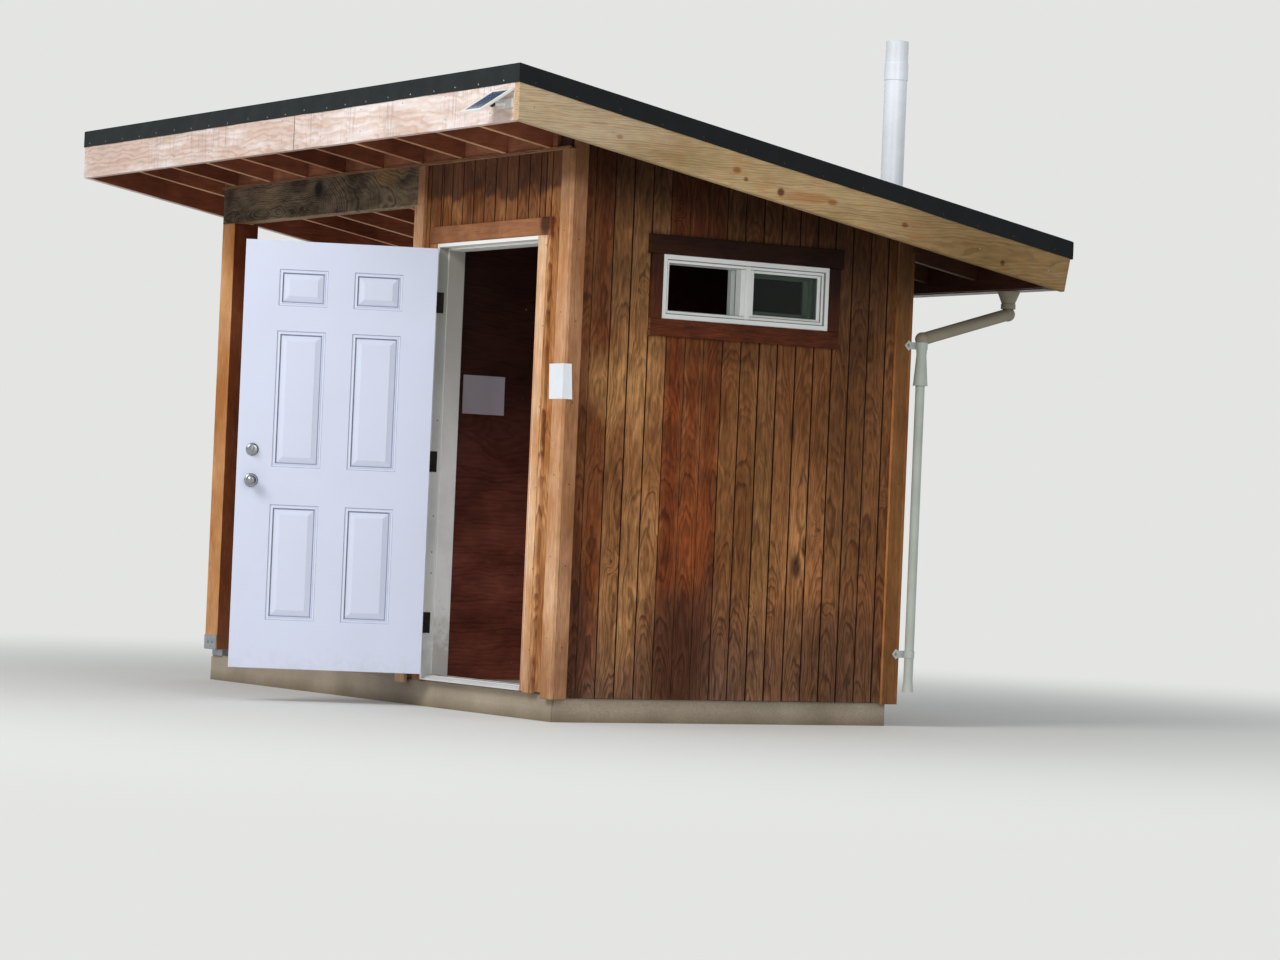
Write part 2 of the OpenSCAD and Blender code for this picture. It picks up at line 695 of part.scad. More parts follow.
module vent_strap(z)
    difference() {
        union() {
            translate([vent_x, vent_y, z]) cylinder(h = 30, d = vent_d + 6);
            box([vent_x - 95, wall_back, z], [vent_x + 95, wall_back + 4, z + 30]);
            box([vent_x - 58, wall_back, z], [vent_x + 58, vent_y, z + 30]);
        }
        translate([vent_x, vent_y, z - 1]) cylinder(h = 32, d = vent_d + 0.4);
    }

module pipe_straps() color("whitesmoke") {
    spout_strap(slab_h + 216, spout_d);
    spout_strap(elbow_z - 5, spout_d + 6);
    vent_strap(slab_h + 700);
    vent_strap(slab_h + 1600);
}

// Solar light panel on the front fascia
panel_x1 = roof_x1 - 40;
panel_y = roof_y0 - 170;
panel_z = rake_low(roof_y0) + 34;
module solar_panel() color("midnightblue")
    translate([panel_x1 - solar_w, panel_y, panel_z]) rotate([34, 0, 0]) difference() {
        translate([0, 0, -12]) cube([solar_w, solar_l, 12]);
        translate([14, 14, -1.5]) cube([solar_w - 28, solar_l - 28, 2]);
    }

ball = [x_right + 335, roof_y0 - 66, panel_z + 36];
module solar_bracket() color("white")
    union() {
        box([x_right + 268, roof_y0 - 6, panel_z + 22], [x_right + 402, roof_y0, panel_z + 64]);
        rod([ball[0], roof_y0 - 3, ball[2] + 4], ball, 14);
        translate(ball) sphere(d = 28);
        rod(ball, ball + 16.2 * [0, -sin(34), cos(34)], 14);
    }

slab();
front_wall_left();
front_wall_right();
front_wall_over_door();
right_wall();
back_wall();
partition_wall();
front_right_corner_trim();
back_right_corner_trim();
front_left_corner_trim();
back_left_corner_trim();
front_frieze();
door_frame();
threshold();
door_casing();
frame_hinges();
door_leaf();
leaf_hinges();
door_knob();
deadbolt();
window_frame();
window_sash();
window_glass();
window_trim();
front_post();
back_post();
post_bases();
front_header_beam();
back_header_beam();
rafters();
rafter_blocking();
front_fascia();
back_fascia();
left_rake_board();
right_rake_board();
roof_deck();
roof_covering();
roof_edge_trim();
vent_pipe();
vent_flashing();
gutter();
outlet_pipe();
downspout();
pipe_straps();
solar_panel();
solar_bracket();
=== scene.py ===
import functools
import json
import math
import random

import bmesh
import bpy
from mathutils import Matrix, Vector, noise


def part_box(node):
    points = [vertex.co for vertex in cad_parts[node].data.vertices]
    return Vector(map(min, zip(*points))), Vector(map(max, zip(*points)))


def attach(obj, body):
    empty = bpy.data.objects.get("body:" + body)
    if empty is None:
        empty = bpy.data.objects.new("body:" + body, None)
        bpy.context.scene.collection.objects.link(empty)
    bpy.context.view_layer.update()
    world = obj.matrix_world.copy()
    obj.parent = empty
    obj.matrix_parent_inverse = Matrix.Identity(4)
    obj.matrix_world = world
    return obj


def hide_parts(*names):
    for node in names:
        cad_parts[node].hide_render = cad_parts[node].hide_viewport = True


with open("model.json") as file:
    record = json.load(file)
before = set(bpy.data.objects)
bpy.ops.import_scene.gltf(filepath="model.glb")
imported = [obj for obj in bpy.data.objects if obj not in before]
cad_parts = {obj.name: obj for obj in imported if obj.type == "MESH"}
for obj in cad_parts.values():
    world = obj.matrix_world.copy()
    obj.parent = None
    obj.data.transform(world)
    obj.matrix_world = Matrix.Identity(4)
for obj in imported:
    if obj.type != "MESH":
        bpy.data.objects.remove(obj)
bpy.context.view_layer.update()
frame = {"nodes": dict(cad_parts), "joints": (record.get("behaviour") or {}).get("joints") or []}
MM = 0.001


def corners(node_name):
    """The low and high corner of a CAD node, as six numbers x0, y0, z0, x1, y1, z1."""
    low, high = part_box(node_name)
    return low.x, low.y, low.z, high.x, high.y, high.z


# Places that several pieces share, worked out from the frame
PITCH = math.radians(10)
SLOPE = math.tan(PITCH)
RX0, RY0, RZ0, RX1, RY1, RZ1 = corners("rafters")
DX0, DY0, DZ0, DX1, DY1, DZ1 = corners("roof_deck")
SX0, SY0, SZ0, SX1, SY1, SLAB_TOP = corners("slab")
_, FRONT, _, RIGHT, _, _ = corners("front_right_corner_trim")
LEFT = corners("front_post")[0]
BACK = corners("back_right_corner_trim")[4]
# Trim boards: thickness and width
TRIM = 19 * MM
TRIM_WIDE = 89 * MM
# Thickness of the roof's layers, measured upright
RAFTER_PLUMB = RZ1 - RZ0 - SLOPE * (RY1 - RY0)
DECK_PLUMB = DZ1 - DZ0 - SLOPE * (DY1 - DY0)
COVER_LOW, COVER_HIGH = corners("roof_covering")[2::3]
COVER_PLUMB = COVER_HIGH - COVER_LOW - SLOPE * (DY1 - DY0)
VENT_BOX = corners("vent_pipe")
VENT_X, VENT_Y = (VENT_BOX[0] + VENT_BOX[3]) / 2, VENT_BOX[4] - 58 * MM
# A hair left between pieces that lie on each other
HAIR = 0.3 * MM
# How far sawn edges are eased
EASED = 2 * MM
# Less than this is nothing, in metres
TINY = 1e-6


def under(y):
    """Height of the rafters' underside."""
    return RZ0 + SLOPE * (RY1 - y)


def over(y):
    """Height of the rafters' top, where the roof boards lie."""
    return under(y) + RAFTER_PLUMB


def below_deck(y):
    """Height where the pieces under the roof boards end."""
    return over(y) - HAIR


def deck_top(y):
    """Height of the roof boards' top."""
    return over(y) + DECK_PLUMB


def cover_top(y):
    """Height of the roofing's top."""
    return COVER_LOW + SLOPE * (DY1 - y) + COVER_PLUMB


# Materials
def linear(hexes):
    """An sRGB hex colour as linear red, green, blue and alpha."""
    parts = [int(hexes[i:i + 2], 16) / 255 for i in (1, 3, 5)]
    parts = [c / 12.92 if c <= 0.04045 else ((c + 0.055) / 1.055) ** 2.4 for c in parts]
    return (*parts, 1.0)


def add(tree, kind, inputs=(), operation=None, **settings):
    """Adds a node, sets its settings, and fills its inputs with values, hex colours or links. Inputs are
    given by name, or in a tuple that fills the live sockets in order. A node given as an input is linked by
    its first live output. A Mix node mixes colours."""
    made = tree.nodes.new(kind if "Node" in kind else "ShaderNode" + kind)
    if kind == "Mix":
        made.data_type = "RGBA"
    if operation:
        made.operation = operation
    for key, value in settings.items():
        setattr(made, key, value)
    if isinstance(inputs, dict):
        filled = [(made.inputs[key], value) for key, value in inputs.items()]
    else:
        filled = zip([socket for socket in made.inputs if socket.enabled], inputs)
    for socket, value in filled:
        if isinstance(value, bpy.types.Node):
            value = next(output for output in value.outputs if output.enabled)
        if isinstance(value, bpy.types.NodeSocket):
            tree.links.new(value, socket)
        elif isinstance(value, str) and value.startswith("#"):
            socket.default_value = linear(value)
        else:
            socket.default_value = value
    return made


def new_material(name):
    """An empty material, and the call that adds nodes to it."""
    mat = bpy.data.materials.new(name)
    mat.use_nodes = True
    mat.node_tree.nodes.clear()
    return mat, functools.partial(add, mat.node_tree)


def close_material(mat, node, inputs):
    """Ends a material with its shader, fed with values and links, and its output."""
    node("OutputMaterial", {"Surface": node("BsdfPrincipled", inputs)})
    return mat


# Values that each face of a wood piece carries
FACE_VALUES = ("seed", "tone", "end", "edge")


def timber(name, stained, bare, late, rings=(7, 0.0, 0.03, 0.10), line=0.4, fibre=0.18,
           patch=((2.2, 2.2, 1.2), 0.36, 0.64), mottle=0.2, edge_highlight=None, dirt="#2b130a", vary=None, knots=None,
           streaks=None, foot=None, eaves=None, marks=(), end_hex="#7a5236", rough=0.62, sheen=0.12):
    """Sawn board wood. A face's tone runs from stained at 0 to bare at 1, each a dark and a light colour.
    The grain map runs along each board in metres, with its other axis measured from the board's middle.
    rings: ring width in mm, then how far aside and how far below the face the pith lies, and its swing, in m.
    late is the colour that the late wood lines take away, and line how strongly.
    patch: stretch and range of the weathering clouds. mottle: strength of the small stains in one board.
    edge_highlight: colour and strength of a painted highlight along a board's long edges.
    dirt: colour of the narrow faces where edge is 1: dirt in the joints and painted shade down in them.
    knots: share of places that hold one, and its colour. vary: a colour that some boards take, and how much.
    foot and eaves: colour, height and strength of damp below and shade above, eaves with its reach too.
    streaks: colour, strength and stretch. marks: centre, reach, colour and strength of single places."""
    mat, node = new_material(name)
    grain = node("SeparateXYZ", (node("UVMap", uv_map="grain"),))
    along, across = grain.outputs[0], grain.outputs[1]
    seed, tone, end, edge = (node("Attribute", attribute_name=value).outputs["Fac"] for value in FACE_VALUES)
    place = node("TexCoord").outputs["Object"]
    spot = node("SeparateXYZ", (place,))
    flat = node("CombineXYZ", (along, across, node("Math", (seed, 61.0), "MULTIPLY")))

    def drawn_out(base, stretch, detail, roughness=0.5):
        """Noise in a space that is stretched or squeezed along its axes."""
        space = node("VectorMath", (base, stretch), "MULTIPLY")
        return node("TexNoise", {"Vector": space, "Scale": 1.0, "Detail": detail, "Roughness": roughness})

    # Growth rings: circles round a pith that wanders under the board, cut by its face
    ring_mm, aside, deep, swing = rings
    wander = drawn_out(flat, (1.5, 1.2, 1.0), 2.5, 0.45)
    depth = node("Math", (wander, swing, deep), "MULTIPLY_ADD")
    depth = node("Math", (along, swing * 0.4, depth), "MULTIPLY_ADD")
    luck = node("Math", (node("Math", (seed, 5.77), "MULTIPLY"),), "FRACT")
    off = node("MapRange", (luck, 0.0, 1.0, aside - 0.055, aside + 0.055))
    sideways = node("Math", (across, off), "ADD")
    radius = node("VectorMath", (node("CombineXYZ", (sideways, depth)),), "LENGTH")
    ripple = drawn_out(flat, (6.0, 20.0, 1.0), 2.5)
    radius = node("Math", (ripple, ring_mm * 2.6 * MM, radius), "MULTIPLY_ADD")
    if knots:
        share, knot_hex = knots
        cell = node("TexVoronoi", {"Vector": flat, "Scale": 5.5})
        luck = node("SeparateColor", (cell.outputs["Color"],))
        held = node("Math", (luck, share), "LESS_THAN")
        pull = node("MapRange", (cell, 0.0, 0.4, 30 * MM, 0.0), interpolation_type="SMOOTHSTEP")
        radius = node("Math", (radius, node("Math", (pull, held), "MULTIPLY")), "ADD")
    turns = node("Math", (radius, ring_mm * MM), "DIVIDE")
    year = node("Math", (turns,), "FLOOR")
    growth = node("TexWhiteNoise", {"W": year}, noise_dimensions="1D")
    weight = node("MapRange", (growth, 0.0, 1.0, 0.3, 1.0))
    phase = node("Math", (turns,), "FRACT")
    rise = node("MapRange", (phase, 0.2, 0.8), interpolation_type="SMOOTHSTEP")
    fall = node("MapRange", (phase, 0.84, 1.0, 1.0, 0.0))
    bands = node("Math", (node("Math", (rise, fall), "MULTIPLY"), weight), "MULTIPLY")
    fibres = node("MapRange", (drawn_out(flat, (8.0, 300.0, 1.0), 3.0, 0.6), 0.3, 0.7))

    # Colour: weathering clouds between dark and light, small stains, then lines, fibres and marks
    stretch, cloud_low, cloud_high = patch
    own = node("MapRange", (seed, 0.0, 1.0, -0.07, 0.07))
    cloud = node("Math", (drawn_out(place, stretch, 5.0, 0.6), own), "ADD")
    light = node("MapRange", (cloud, cloud_low, cloud_high))
    colour = node("Mix", (tone, node("Mix", (light, *stained)), node("Mix", (light, *bare))))
    if vary:
        shade, most = vary
        turn = node("Math", (node("Math", (seed, 7.31), "MULTIPLY"),), "FRACT")
        colour = node("Mix", (node("Math", (turn, most), "MULTIPLY"), colour, shade))
    # Painted highlight along the boards' long edges, stronger where the boards are paler
    if edge_highlight:
        shade, strength = edge_highlight
        out = node("Math", (across,), "ABSOLUTE")
        highlight_mask = node("MapRange", (out, 0.036, 0.046, 0.0, strength))
        colour = node("Mix", (node("Math", (highlight_mask, light), "MULTIPLY"), colour, shade))
    if foot:
        shade, top, strength = foot
        line_at = node("Math", (cloud, 0.7, spot.outputs[2]), "MULTIPLY_ADD")
        damp = node("MapRange", (line_at, top, top + 0.5, strength, 0.0))
        colour = node("Mix", (damp, colour, shade))
    # Painted shade high up, under the eaves and the roof, its edge following the roof's slope
    if eaves:
        shade, below, reach, strength = eaves
        slant = node("Math", (spot.outputs[1], SLOPE, spot.outputs[2]), "MULTIPLY_ADD")
        slant = node("Math", (cloud, 0.35, slant), "MULTIPLY_ADD")
        colour = node("Mix", (node("MapRange", (slant, below, below + reach, 0.0, strength)), colour, shade))
    for centre, reach, shade, strength in marks:
        off = node("VectorMath", (place, centre), "SUBTRACT")
        away = node("VectorMath", (node("VectorMath", (off, reach), "DIVIDE"),), "LENGTH")
        away = node("Math", (light, -0.5, away), "MULTIPLY_ADD")
        near = node("MapRange", (away, 0.1, 0.9, strength, 0.0), interpolation_type="SMOOTHSTEP")
        colour = node("Mix", (near, colour, shade))
    stain = drawn_out(flat, (11.0, 42.0, 1.0), 4.0, 0.62)
    shade = node("MapRange", (stain, 0.3, 0.7, 1 - mottle, 1 + mottle * 0.7))
    colour = node("Mix", (1.0, colour, shade), blend_type="MULTIPLY")
    drawn = node("Math", (bands, line), "MULTIPLY")
    colour = node("Mix", (drawn, colour, late), blend_type="MULTIPLY")
    veil = node("MapRange", (fibres, 0.0, 1.0, fibre, 0.0))
    colour = node("Mix", (veil, colour, "#5f4733"), blend_type="MULTIPLY")
    if knots:
        heart = node("MapRange", (cell, 0.035, 0.085, 0.85, 0.0))
        colour = node("Mix", (node("Math", (heart, held), "MULTIPLY"), colour, knot_hex))
    if streaks:
        shade, strength, stretch = streaks
        runs = node("MapRange", (drawn_out(place, stretch, 4.0), 0.5, 0.68, 0.0, strength))
        area = node("TexNoise", {"Vector": place, "Scale": 2.6, "Detail": 2.0})
        area = node("MapRange", (area, 0.44, 0.6))
        colour = node("Mix", (node("Math", (runs, area), "MULTIPLY"), colour, shade))
    # Narrow faces take the dirt colour: dirt in the joints, and painted shade down in them
    colour = node("Mix", (node("Math", (edge, 0.9), "MULTIPLY"), colour, dirt))
    colour = node("Mix", (end, colour, node("Mix", (bands, end_hex, colour))))
    gloss = node("MapRange", (fibres, 0.0, 1.0, rough + 0.1, rough - 0.08))
    relief = node("Math", (bands, -0.6, fibres), "MULTIPLY_ADD")
    bump = node("Bump", {"Height": relief, "Strength": 0.4, "Distance": 0.6 * MM})
    return close_material(mat, node, {"Base Color": colour, "Roughness": gloss, "Normal": bump,
                                      "Specular IOR Level": sheen})


def side_marks(x, reach, spots):
    """Marks on a face that looks along X. A spot is its y and z, its reach along both, colour, strength."""
    return [((x, y, z), (reach, wide, tall), shade, strength) for y, z, wide, tall, shade, strength in spots]


# Red cedar boards under an oil stain: red-brown where the stain holds, bleached tan where rain took it,
# mauve where it splashes up from the ground, purple-brown where the eaves keep the light off.
# Rings of 2 mm are drawn 8 mm wide, as coarse as they need to show
SIDING = timber(
    "cedar_siding", ("#602810", "#bc5e28"), ("#9a6237", "#e4ac70"), "#5a3013", rings=(8, 0.0, 0.03, 0.13),
    line=0.62, fibre=0.3, patch=((3.0, 3.0, 1.5), 0.30, 0.70), mottle=0.46, edge_highlight=("#d8a06b", 0.25),
    dirt="#2e1308", vary=("#754522", 0.5), knots=(0.07, "#3a2010"), foot=("#785a49", 0.46, 0.8),
    eaves=("#2c180e", 2.05, 0.5, 0.85), streaks=("#4a2512", 0.45, (38.0, 38.0, 3.0)),
    # Painted light: pale place at front, mid height; painted shade: dark places under the sill and at 2 m
    marks=side_marks(1.79, 0.2, (
        (-0.70, 1.56, 0.30, 0.24, "#d9a368", 0.5), (-0.75, 1.15, 0.25, 0.25, "#7a4f2c", 0.3),
        (-0.74, 1.98, 0.30, 0.24, "#4a3320", 0.5), (-0.02, 1.73, 0.60, 0.12, "#4e2a16", 0.5),
        (-0.87, 0.40, 0.12, 0.60, "#43241a", 0.85), (-0.88, 1.40, 0.10, 1.60, "#6a4327", 0.6),
        (0.42, 1.55, 0.40, 0.50, "#6b3f1f", 0.65), (0.10, 1.00, 0.24, 0.50, "#70461f", 0.5),
        (0.80, 1.25, 0.42, 1.00, "#664024", 0.7), (0.62, 0.30, 0.45, 0.34, "#6b4730", 0.75),
        (0.63, 1.97, 0.20, 0.34, "#2c1c12", 0.5), (-0.14, 1.10, 0.10, 0.12, "#54200f", 0.3),
        (-0.22, 1.55, 0.14, 0.10, "#4a1f10", 0.35), (-0.22, 0.84, 0.16, 0.36, "#b86030", 0.6),
        (0.363, 0.74, 0.03, 0.070, "#1d110a", 0.8), (0.404, 0.84, 0.014, 0.06, "#24140c", 0.7),
        (0.313, 1.39, 0.018, 0.07, "#2a170d", 0.6), (-0.26, 0.34, 0.26, 0.42, "#502c1a", 0.85))))
# Boards on the front, kept dry by the overhang: orange-brown, with dark runs, and dark brown under the
# roof: painted shadow of the overhang
FRONT_SIDING = timber(
    "dry_cedar_siding", ("#5c2b13", "#9c5426"), ("#b57038", "#e6aa70"), "#5c3219", rings=(9, 0.0, 0.03, 0.13),
    line=0.5, patch=((5.0, 5.0, 2.4), 0.36, 0.64), mottle=0.3, edge_highlight=("#c98d57", 0.25), dirt="#260f07",
    vary=("#66331a", 0.35), knots=(0.04, "#3a2010"), streaks=("#2c120a", 0.55, (60.0, 60.0, 2.4)),
    foot=("#7d5540", 0.40, 0.5), eaves=("#4e2f24", 2.42, 0.03, 0.72))
# Fir trim boards, paler than the siding, sawn square and straight in the grain, darker high up:
# painted shade under the eaves
TRIM_WOOD = timber(
    "fir_trim", ("#582510", "#a05c2c"), ("#d59a68", "#ffd9b0"), "#a8693a", rings=(6, 0.12, 0.03, 0.08),
    line=0.45, patch=((2.6, 2.6, 1.3), 0.36, 0.64), mottle=0.22, dirt="#5a3218", knots=(0.07, "#6b3f20"),
    foot=("#7a5842", 0.30, 0.5), eaves=("#6b4a30", 2.42, 0.05, 0.55),
    marks=(((1.575, -0.98, 2.272), (0.05, 0.2, 0.06), "#3a170d", 0.85),))
# Door casing: flat-sawn fir with a bold dark figure under an orange oil
CASING_WOOD = timber(
    "oiled_fir_casing", ("#55240f", "#97572a"), ("#cc8a4c", "#f6c48c"), "#7c4218",
    rings=(13, 0.0, 0.02, 0.16), line=0.75, patch=((3.0, 3.0, 2.0), 0.36, 0.64), mottle=0.25,
    dirt="#5a3218", knots=(0.12, "#5b3015"), foot=("#7a5842", 0.30, 0.5))
# The same fir on the back corners, shaded by trees: dark olive-gold
SHADED_TRIM = timber(
    "shaded_fir_trim", ("#3c2610", "#734e24"), ("#b5713a", "#eba56a"), "#6b4a28", rings=(6, 0.12, 0.03, 0.08),
    line=0.35, patch=((3.2, 3.2, 1.1), 0.36, 0.64), mottle=0.25, dirt="#6e4420", foot=("#4a3422", 0.30, 0.5),
    eaves=("#23150b", 2.0, 0.5, 0.7))
# Sawn fascia boards, bleached pinkish white by rain, with peach waves and grey marks where drips dry
FASCIA_WOOD = timber(
    "weathered_fascia", ("#d9b7a3", "#ebd5c9"), ("#dcc5b9", "#f2e8e4"), "#d9ae8c",
    rings=(26, 0.10, 0.05, 0.16), line=0.5, fibre=0.08, patch=((1.6, 5.0, 9.0), 0.4, 0.58), mottle=0.09,
    dirt="#f3dcc4", streaks=("#938a88", 0.6, (120.0, 30.0, 6.0)), end_hex="#d9b08c", rough=0.72,
    marks=(((0.096, -1.52, 2.75), (0.006, 0.3, 0.4), "#6d5c50", 0.9),))
# Rake boards: the same fir kept drier, a pale grey-tan with straight grain and orange knots
RAKE_WOOD = timber(
    "fir_rake", ("#8a6f48", "#a98d62"), ("#a48a60", "#d3b98c"), "#8a6033", rings=(11, 0.22, 0.03, 0.07),
    line=0.4, patch=((2.0, 1.2, 5.0), 0.32, 0.68), mottle=0.14, dirt="#b98d5f", end_hex="#e0a46c", rough=0.68,
    streaks=("#a5652c", 0.4, (30.0, 7.0, 70.0)),
    # The broad dark mark at the back, at y 1.2, is painted shade
    marks=side_marks(2.235, 0.3, (
        (-1.35, 2.72, 0.80, 0.50, "#c9b79c", 0.55), (1.20, 2.26, 0.80, 0.50, "#6e5028", 0.6),
        (0.02, 2.435, 0.16, 0.026, "#a4602a", 0.5), (-0.373, 2.527, 0.026, 0.016, "#8a5128", 0.8),
        (-0.322, 2.490, 0.014, 0.012, "#7a4120", 0.8), (-0.129, 2.448, 0.020, 0.020, "#5c3018", 0.9),
        (0.160, 2.424, 0.030, 0.015, "#8f5426", 0.75), (0.573, 2.353, 0.020, 0.014, "#74401f", 0.8),
        (1.15, 2.22, 0.020, 0.020, "#4c2d18", 0.9), (-1.00, 2.62, 0.020, 0.012, "#8a5a30", 0.6))))
# Rafters and roof boards under a dark red stain. Their lower faces are paler: less stain, and painted
# light from the ground below. The mark near the back is painted shade under the back eave.
ROOF_WOOD = timber(
    "stained_rafters", ("#5f1d10", "#9a3a22"), ("#c08a64", "#f0c398"), "#6b3a22", rings=(9, 0.12, 0.05, 0.10),
    line=0.3, dirt="#5c2a18", marks=(((0.0, 1.32, 2.15), (9.0, 0.46, 0.6), "#1d100d", 0.85),))
# The weathered header: grey-brown, with a fine swirling figure and a dark knot
HEADER_WOOD = timber(
    "weathered_header", ("#4c3e2e", "#8e7961"), ("#b48a62", "#dab48a"), "#33271b", rings=(11, 0.0, 0.01, 0.5),
    line=0.8, patch=((3.4, 3.4, 7.0), 0.38, 0.62), mottle=0.3, dirt="#5f4c38", knots=(0.22, "#1c1610"),
    marks=(((-0.694, -0.97, 2.541), (0.06, 0.3, 0.06), "#110d09", 0.95),
           ((0.06, -0.97, 2.570), (0.16, 0.3, 0.05), "#94713f", 0.6)))
# Posts: fir under a clear orange oil
POST_WOOD = timber(
    "fir_post", ("#571f0f", "#8a4220"), ("#cb8446", "#ffc98e"), "#a5643a", rings=(9, 0.10, 0.04, 0.10),
    line=0.35, dirt="#8a4a24", knots=(0.08, "#5a3018"), foot=("#a07c62", 0.30, 0.4))
# Window trim: fir under a full coat of red-brown stain, near black at the top: painted shade
# under the eaves
WINDOW_TRIM_WOOD = timber(
    "stained_window_trim", ("#35150a", "#6b3116"), ("#7a4a2e", "#a9744c"), "#5a2f1c",
    rings=(8, 0.14, 0.05, 0.06), line=0.4, mottle=0.4, dirt="#3a1c10", vary=("#4d2414", 0.3),
    eaves=("#150a06", 2.00, 0.35, 0.85))
# Red-stained plywood that lines the room: broad rotary-cut figure under a satin coat, near black high up,
# where no light falls on it
PLYWOOD = timber(
    "stained_plywood", ("#6b332a", "#a65745"), ("#8a4b3c", "#c57b66"), "#6a3b2e", rings=(22, 0.0, 0.12, 0.34),
    line=0.4, patch=((2.4, 2.4, 4.0), 0.36, 0.64), mottle=0.2, dirt="#3a1b14", rough=0.5,
    eaves=("#160c09", 0.8, 0.85, 0.85), sheen=0.3)


def concrete():
    """Poured concrete: brown-grey with fine sand grain, darker damp and soil near the ground."""
    mat, node = new_material("poured_concrete")
    place = node("TexCoord").outputs["Object"]
    height = node("SeparateXYZ", (place,)).outputs[2]
    broad = node("TexNoise", {"Vector": place, "Scale": 2.3, "Detail": 4.0})
    sand = node("TexNoise", {"Vector": place, "Scale": 160.0, "Detail": 3.0})
    pits = node("TexVoronoi", {"Vector": place, "Scale": 38.0})
    grit = node("MapRange", (sand, 0.35, 0.65, 0.0, 0.4))
    hole = node("MapRange", (pits, 0.05, 0.11, 0.6, 0.0))
    edge = node("Math", (broad, 0.06, height), "MULTIPLY_ADD")
    soil = node("MapRange", (edge, 0.02, 0.09, 0.8, 0.0))
    colour = node("Mix", (node("MapRange", (broad, 0.3, 0.7)), "#8f8270", "#b9aa95"))
    for amount, shade in ((grit, "#776b59"), (hole, "#5d5345"), (soil, "#66563f")):
        colour = node("Mix", (amount, colour, shade))
    relief = node("Math", (hole, -1.5, sand), "MULTIPLY_ADD")
    bump = node("Bump", {"Height": relief, "Strength": 0.5, "Distance": 1.2 * MM})
    return close_material(mat, node, {"Base Color": colour, "Roughness": 0.85, "Normal": bump})


def coated(name, hexes, dirt_hex, rough=0.4, dirt=0.25, grain=25.0, metallic=0.0, bump=0.1, dirt_scale=3.0,
           foot=None, upper=None, sheen=0.5):
    """A coated, moulded or bare hard surface: an even colour, clouds of dirt, and splashes near the ground.
    foot: height and strength of the splashes. upper: height where painted shade from above begins, its
    reach, colour and strength."""
    mat, node = new_material(name)
    place = node("TexCoord").outputs["Object"]
    height = node("SeparateXYZ", (place,)).outputs[2]
    cloud = node("TexNoise", {"Vector": place, "Scale": dirt_scale, "Detail": 5.0, "Roughness": 0.62})
    speck = node("TexNoise", {"Vector": place, "Scale": grain, "Detail": 2.0})
    colour = node("Mix", (node("MapRange", (cloud, 0.42, 0.75, 0.0, dirt)), hexes, dirt_hex))
    # Painted shade from above, darker towards the top
    if upper:
        start, reach, shade, strength = upper
        shade_mask = node("MapRange", (height, start, start + reach, 0.0, strength))
        colour = node("Mix", (shade_mask, colour, shade))
    if foot:
        top, strength = foot
        drops = node("TexNoise", {"Vector": place, "Scale": 22.0, "Detail": 5.0, "Roughness": 0.7})
        edge = node("Math", (drops, 0.5, height), "MULTIPLY_ADD")
        splash = node("MapRange", (edge, top, top + 0.22, strength, 0.0))
        colour = node("Mix", (splash, colour, dirt_hex))
    gloss = node("MapRange", (speck, 0.3, 0.7, rough - 0.07, rough + 0.09))
    relief = node("Bump", {"Height": speck, "Strength": bump, "Distance": 0.5 * MM})
    return close_material(mat, node, {"Base Color": colour, "Roughness": gloss, "Normal": relief,
                                      "Metallic": metallic, "Specular IOR Level": sheen})


# Painted steel door skin: bluish white, satin, with dirt splashed on its foot
DOOR_PAINT = coated("painted_steel_door", "#d3d9ec", "#a59c8c", 0.38, 0.06, grain=9.0, foot=(0.26, 0.25))
# The same paint in the panels' grooves, darker: painted shade, with a little dust
DOOR_GROOVE_SHADE = coated("door_groove_painted_shade", "#8f96ae", "#8d8a86", 0.5, 0.2)
# Door leaf's edge: galvanised steel folded round, in shade
LEAF_EDGE = coated("folded_steel_edge", "#5f6160", "#484743", 0.45, 0.3, metallic=0.3)
# Jambs: factory-primed wood, warm white, greyer high up: painted shade under the head
JAMB_PAINT = coated("primed_jamb", "#efeeec", "#8d867a", 0.55, 0.3, foot=(0.5, 0.55),
                    upper=(1.1, 0.7, "#a6a198", 0.85))
# The same primer in the left jamb's rabbet, greyer: painted shade of the leaf, deeper high up
RABBET_SHADE_PAINT = coated("rabbet_primer_painted_shade", "#e2e3e2", "#8f8f86", 0.5, 0.4, foot=(0.4, 0.4),
                      upper=(1.0, 0.9, "#999c91", 0.85))
# Faces of the jambs and stops that look to the front or down: the primer whiter, painted light
LIT_STOP_PAINT = coated("primed_stop_painted_light", "#fbfaf4", "#b5aea0", 0.5, 0.15, foot=(0.3, 0.4))
# Extruded aluminium sill, scuffed by boots
SILL_METAL = coated("mill_aluminium_sill", "#e2e1df", "#a39d92", 0.42, 0.35, metallic=0.35)
# White window vinyl
VINYL = coated("white_vinyl", "#e3e4e2", "#a7a79c", 0.35, 0.25)
# The inner sash, seen in the shade of its frame
SASH_VINYL = coated("sash_vinyl", "#b4b9b4", "#83887c", 0.35, 0.3)
# The window frame's grooves, darker: painted shade, with grime
GROOVE_SHADE_VINYL = coated("window_groove_painted_shade", "#7d8078", "#4e4f45", 0.6, 0.4)
# The vent pipe: white PVC with a slight gloss, a little bloom
PVC = coated("white_pvc", "#eff4fa", "#a3a796", 0.3, 0.35)
# The rain pipe: PVC gone grey-green with algae
RAIN_PVC = coated("weathered_pvc", "#b4bab0", "#868c7e", 0.45, 0.5)
# The slanted rain pipe: taupe with dust
DUSTY_PVC = coated("dusty_pvc", "#8f8672", "#5c5240", 0.55, 0.5)
# The gutter: brown painted aluminium
GUTTER_PAINT = coated("brown_painted_gutter", "#4a3a30", "#3c4032", 0.4, 0.5)
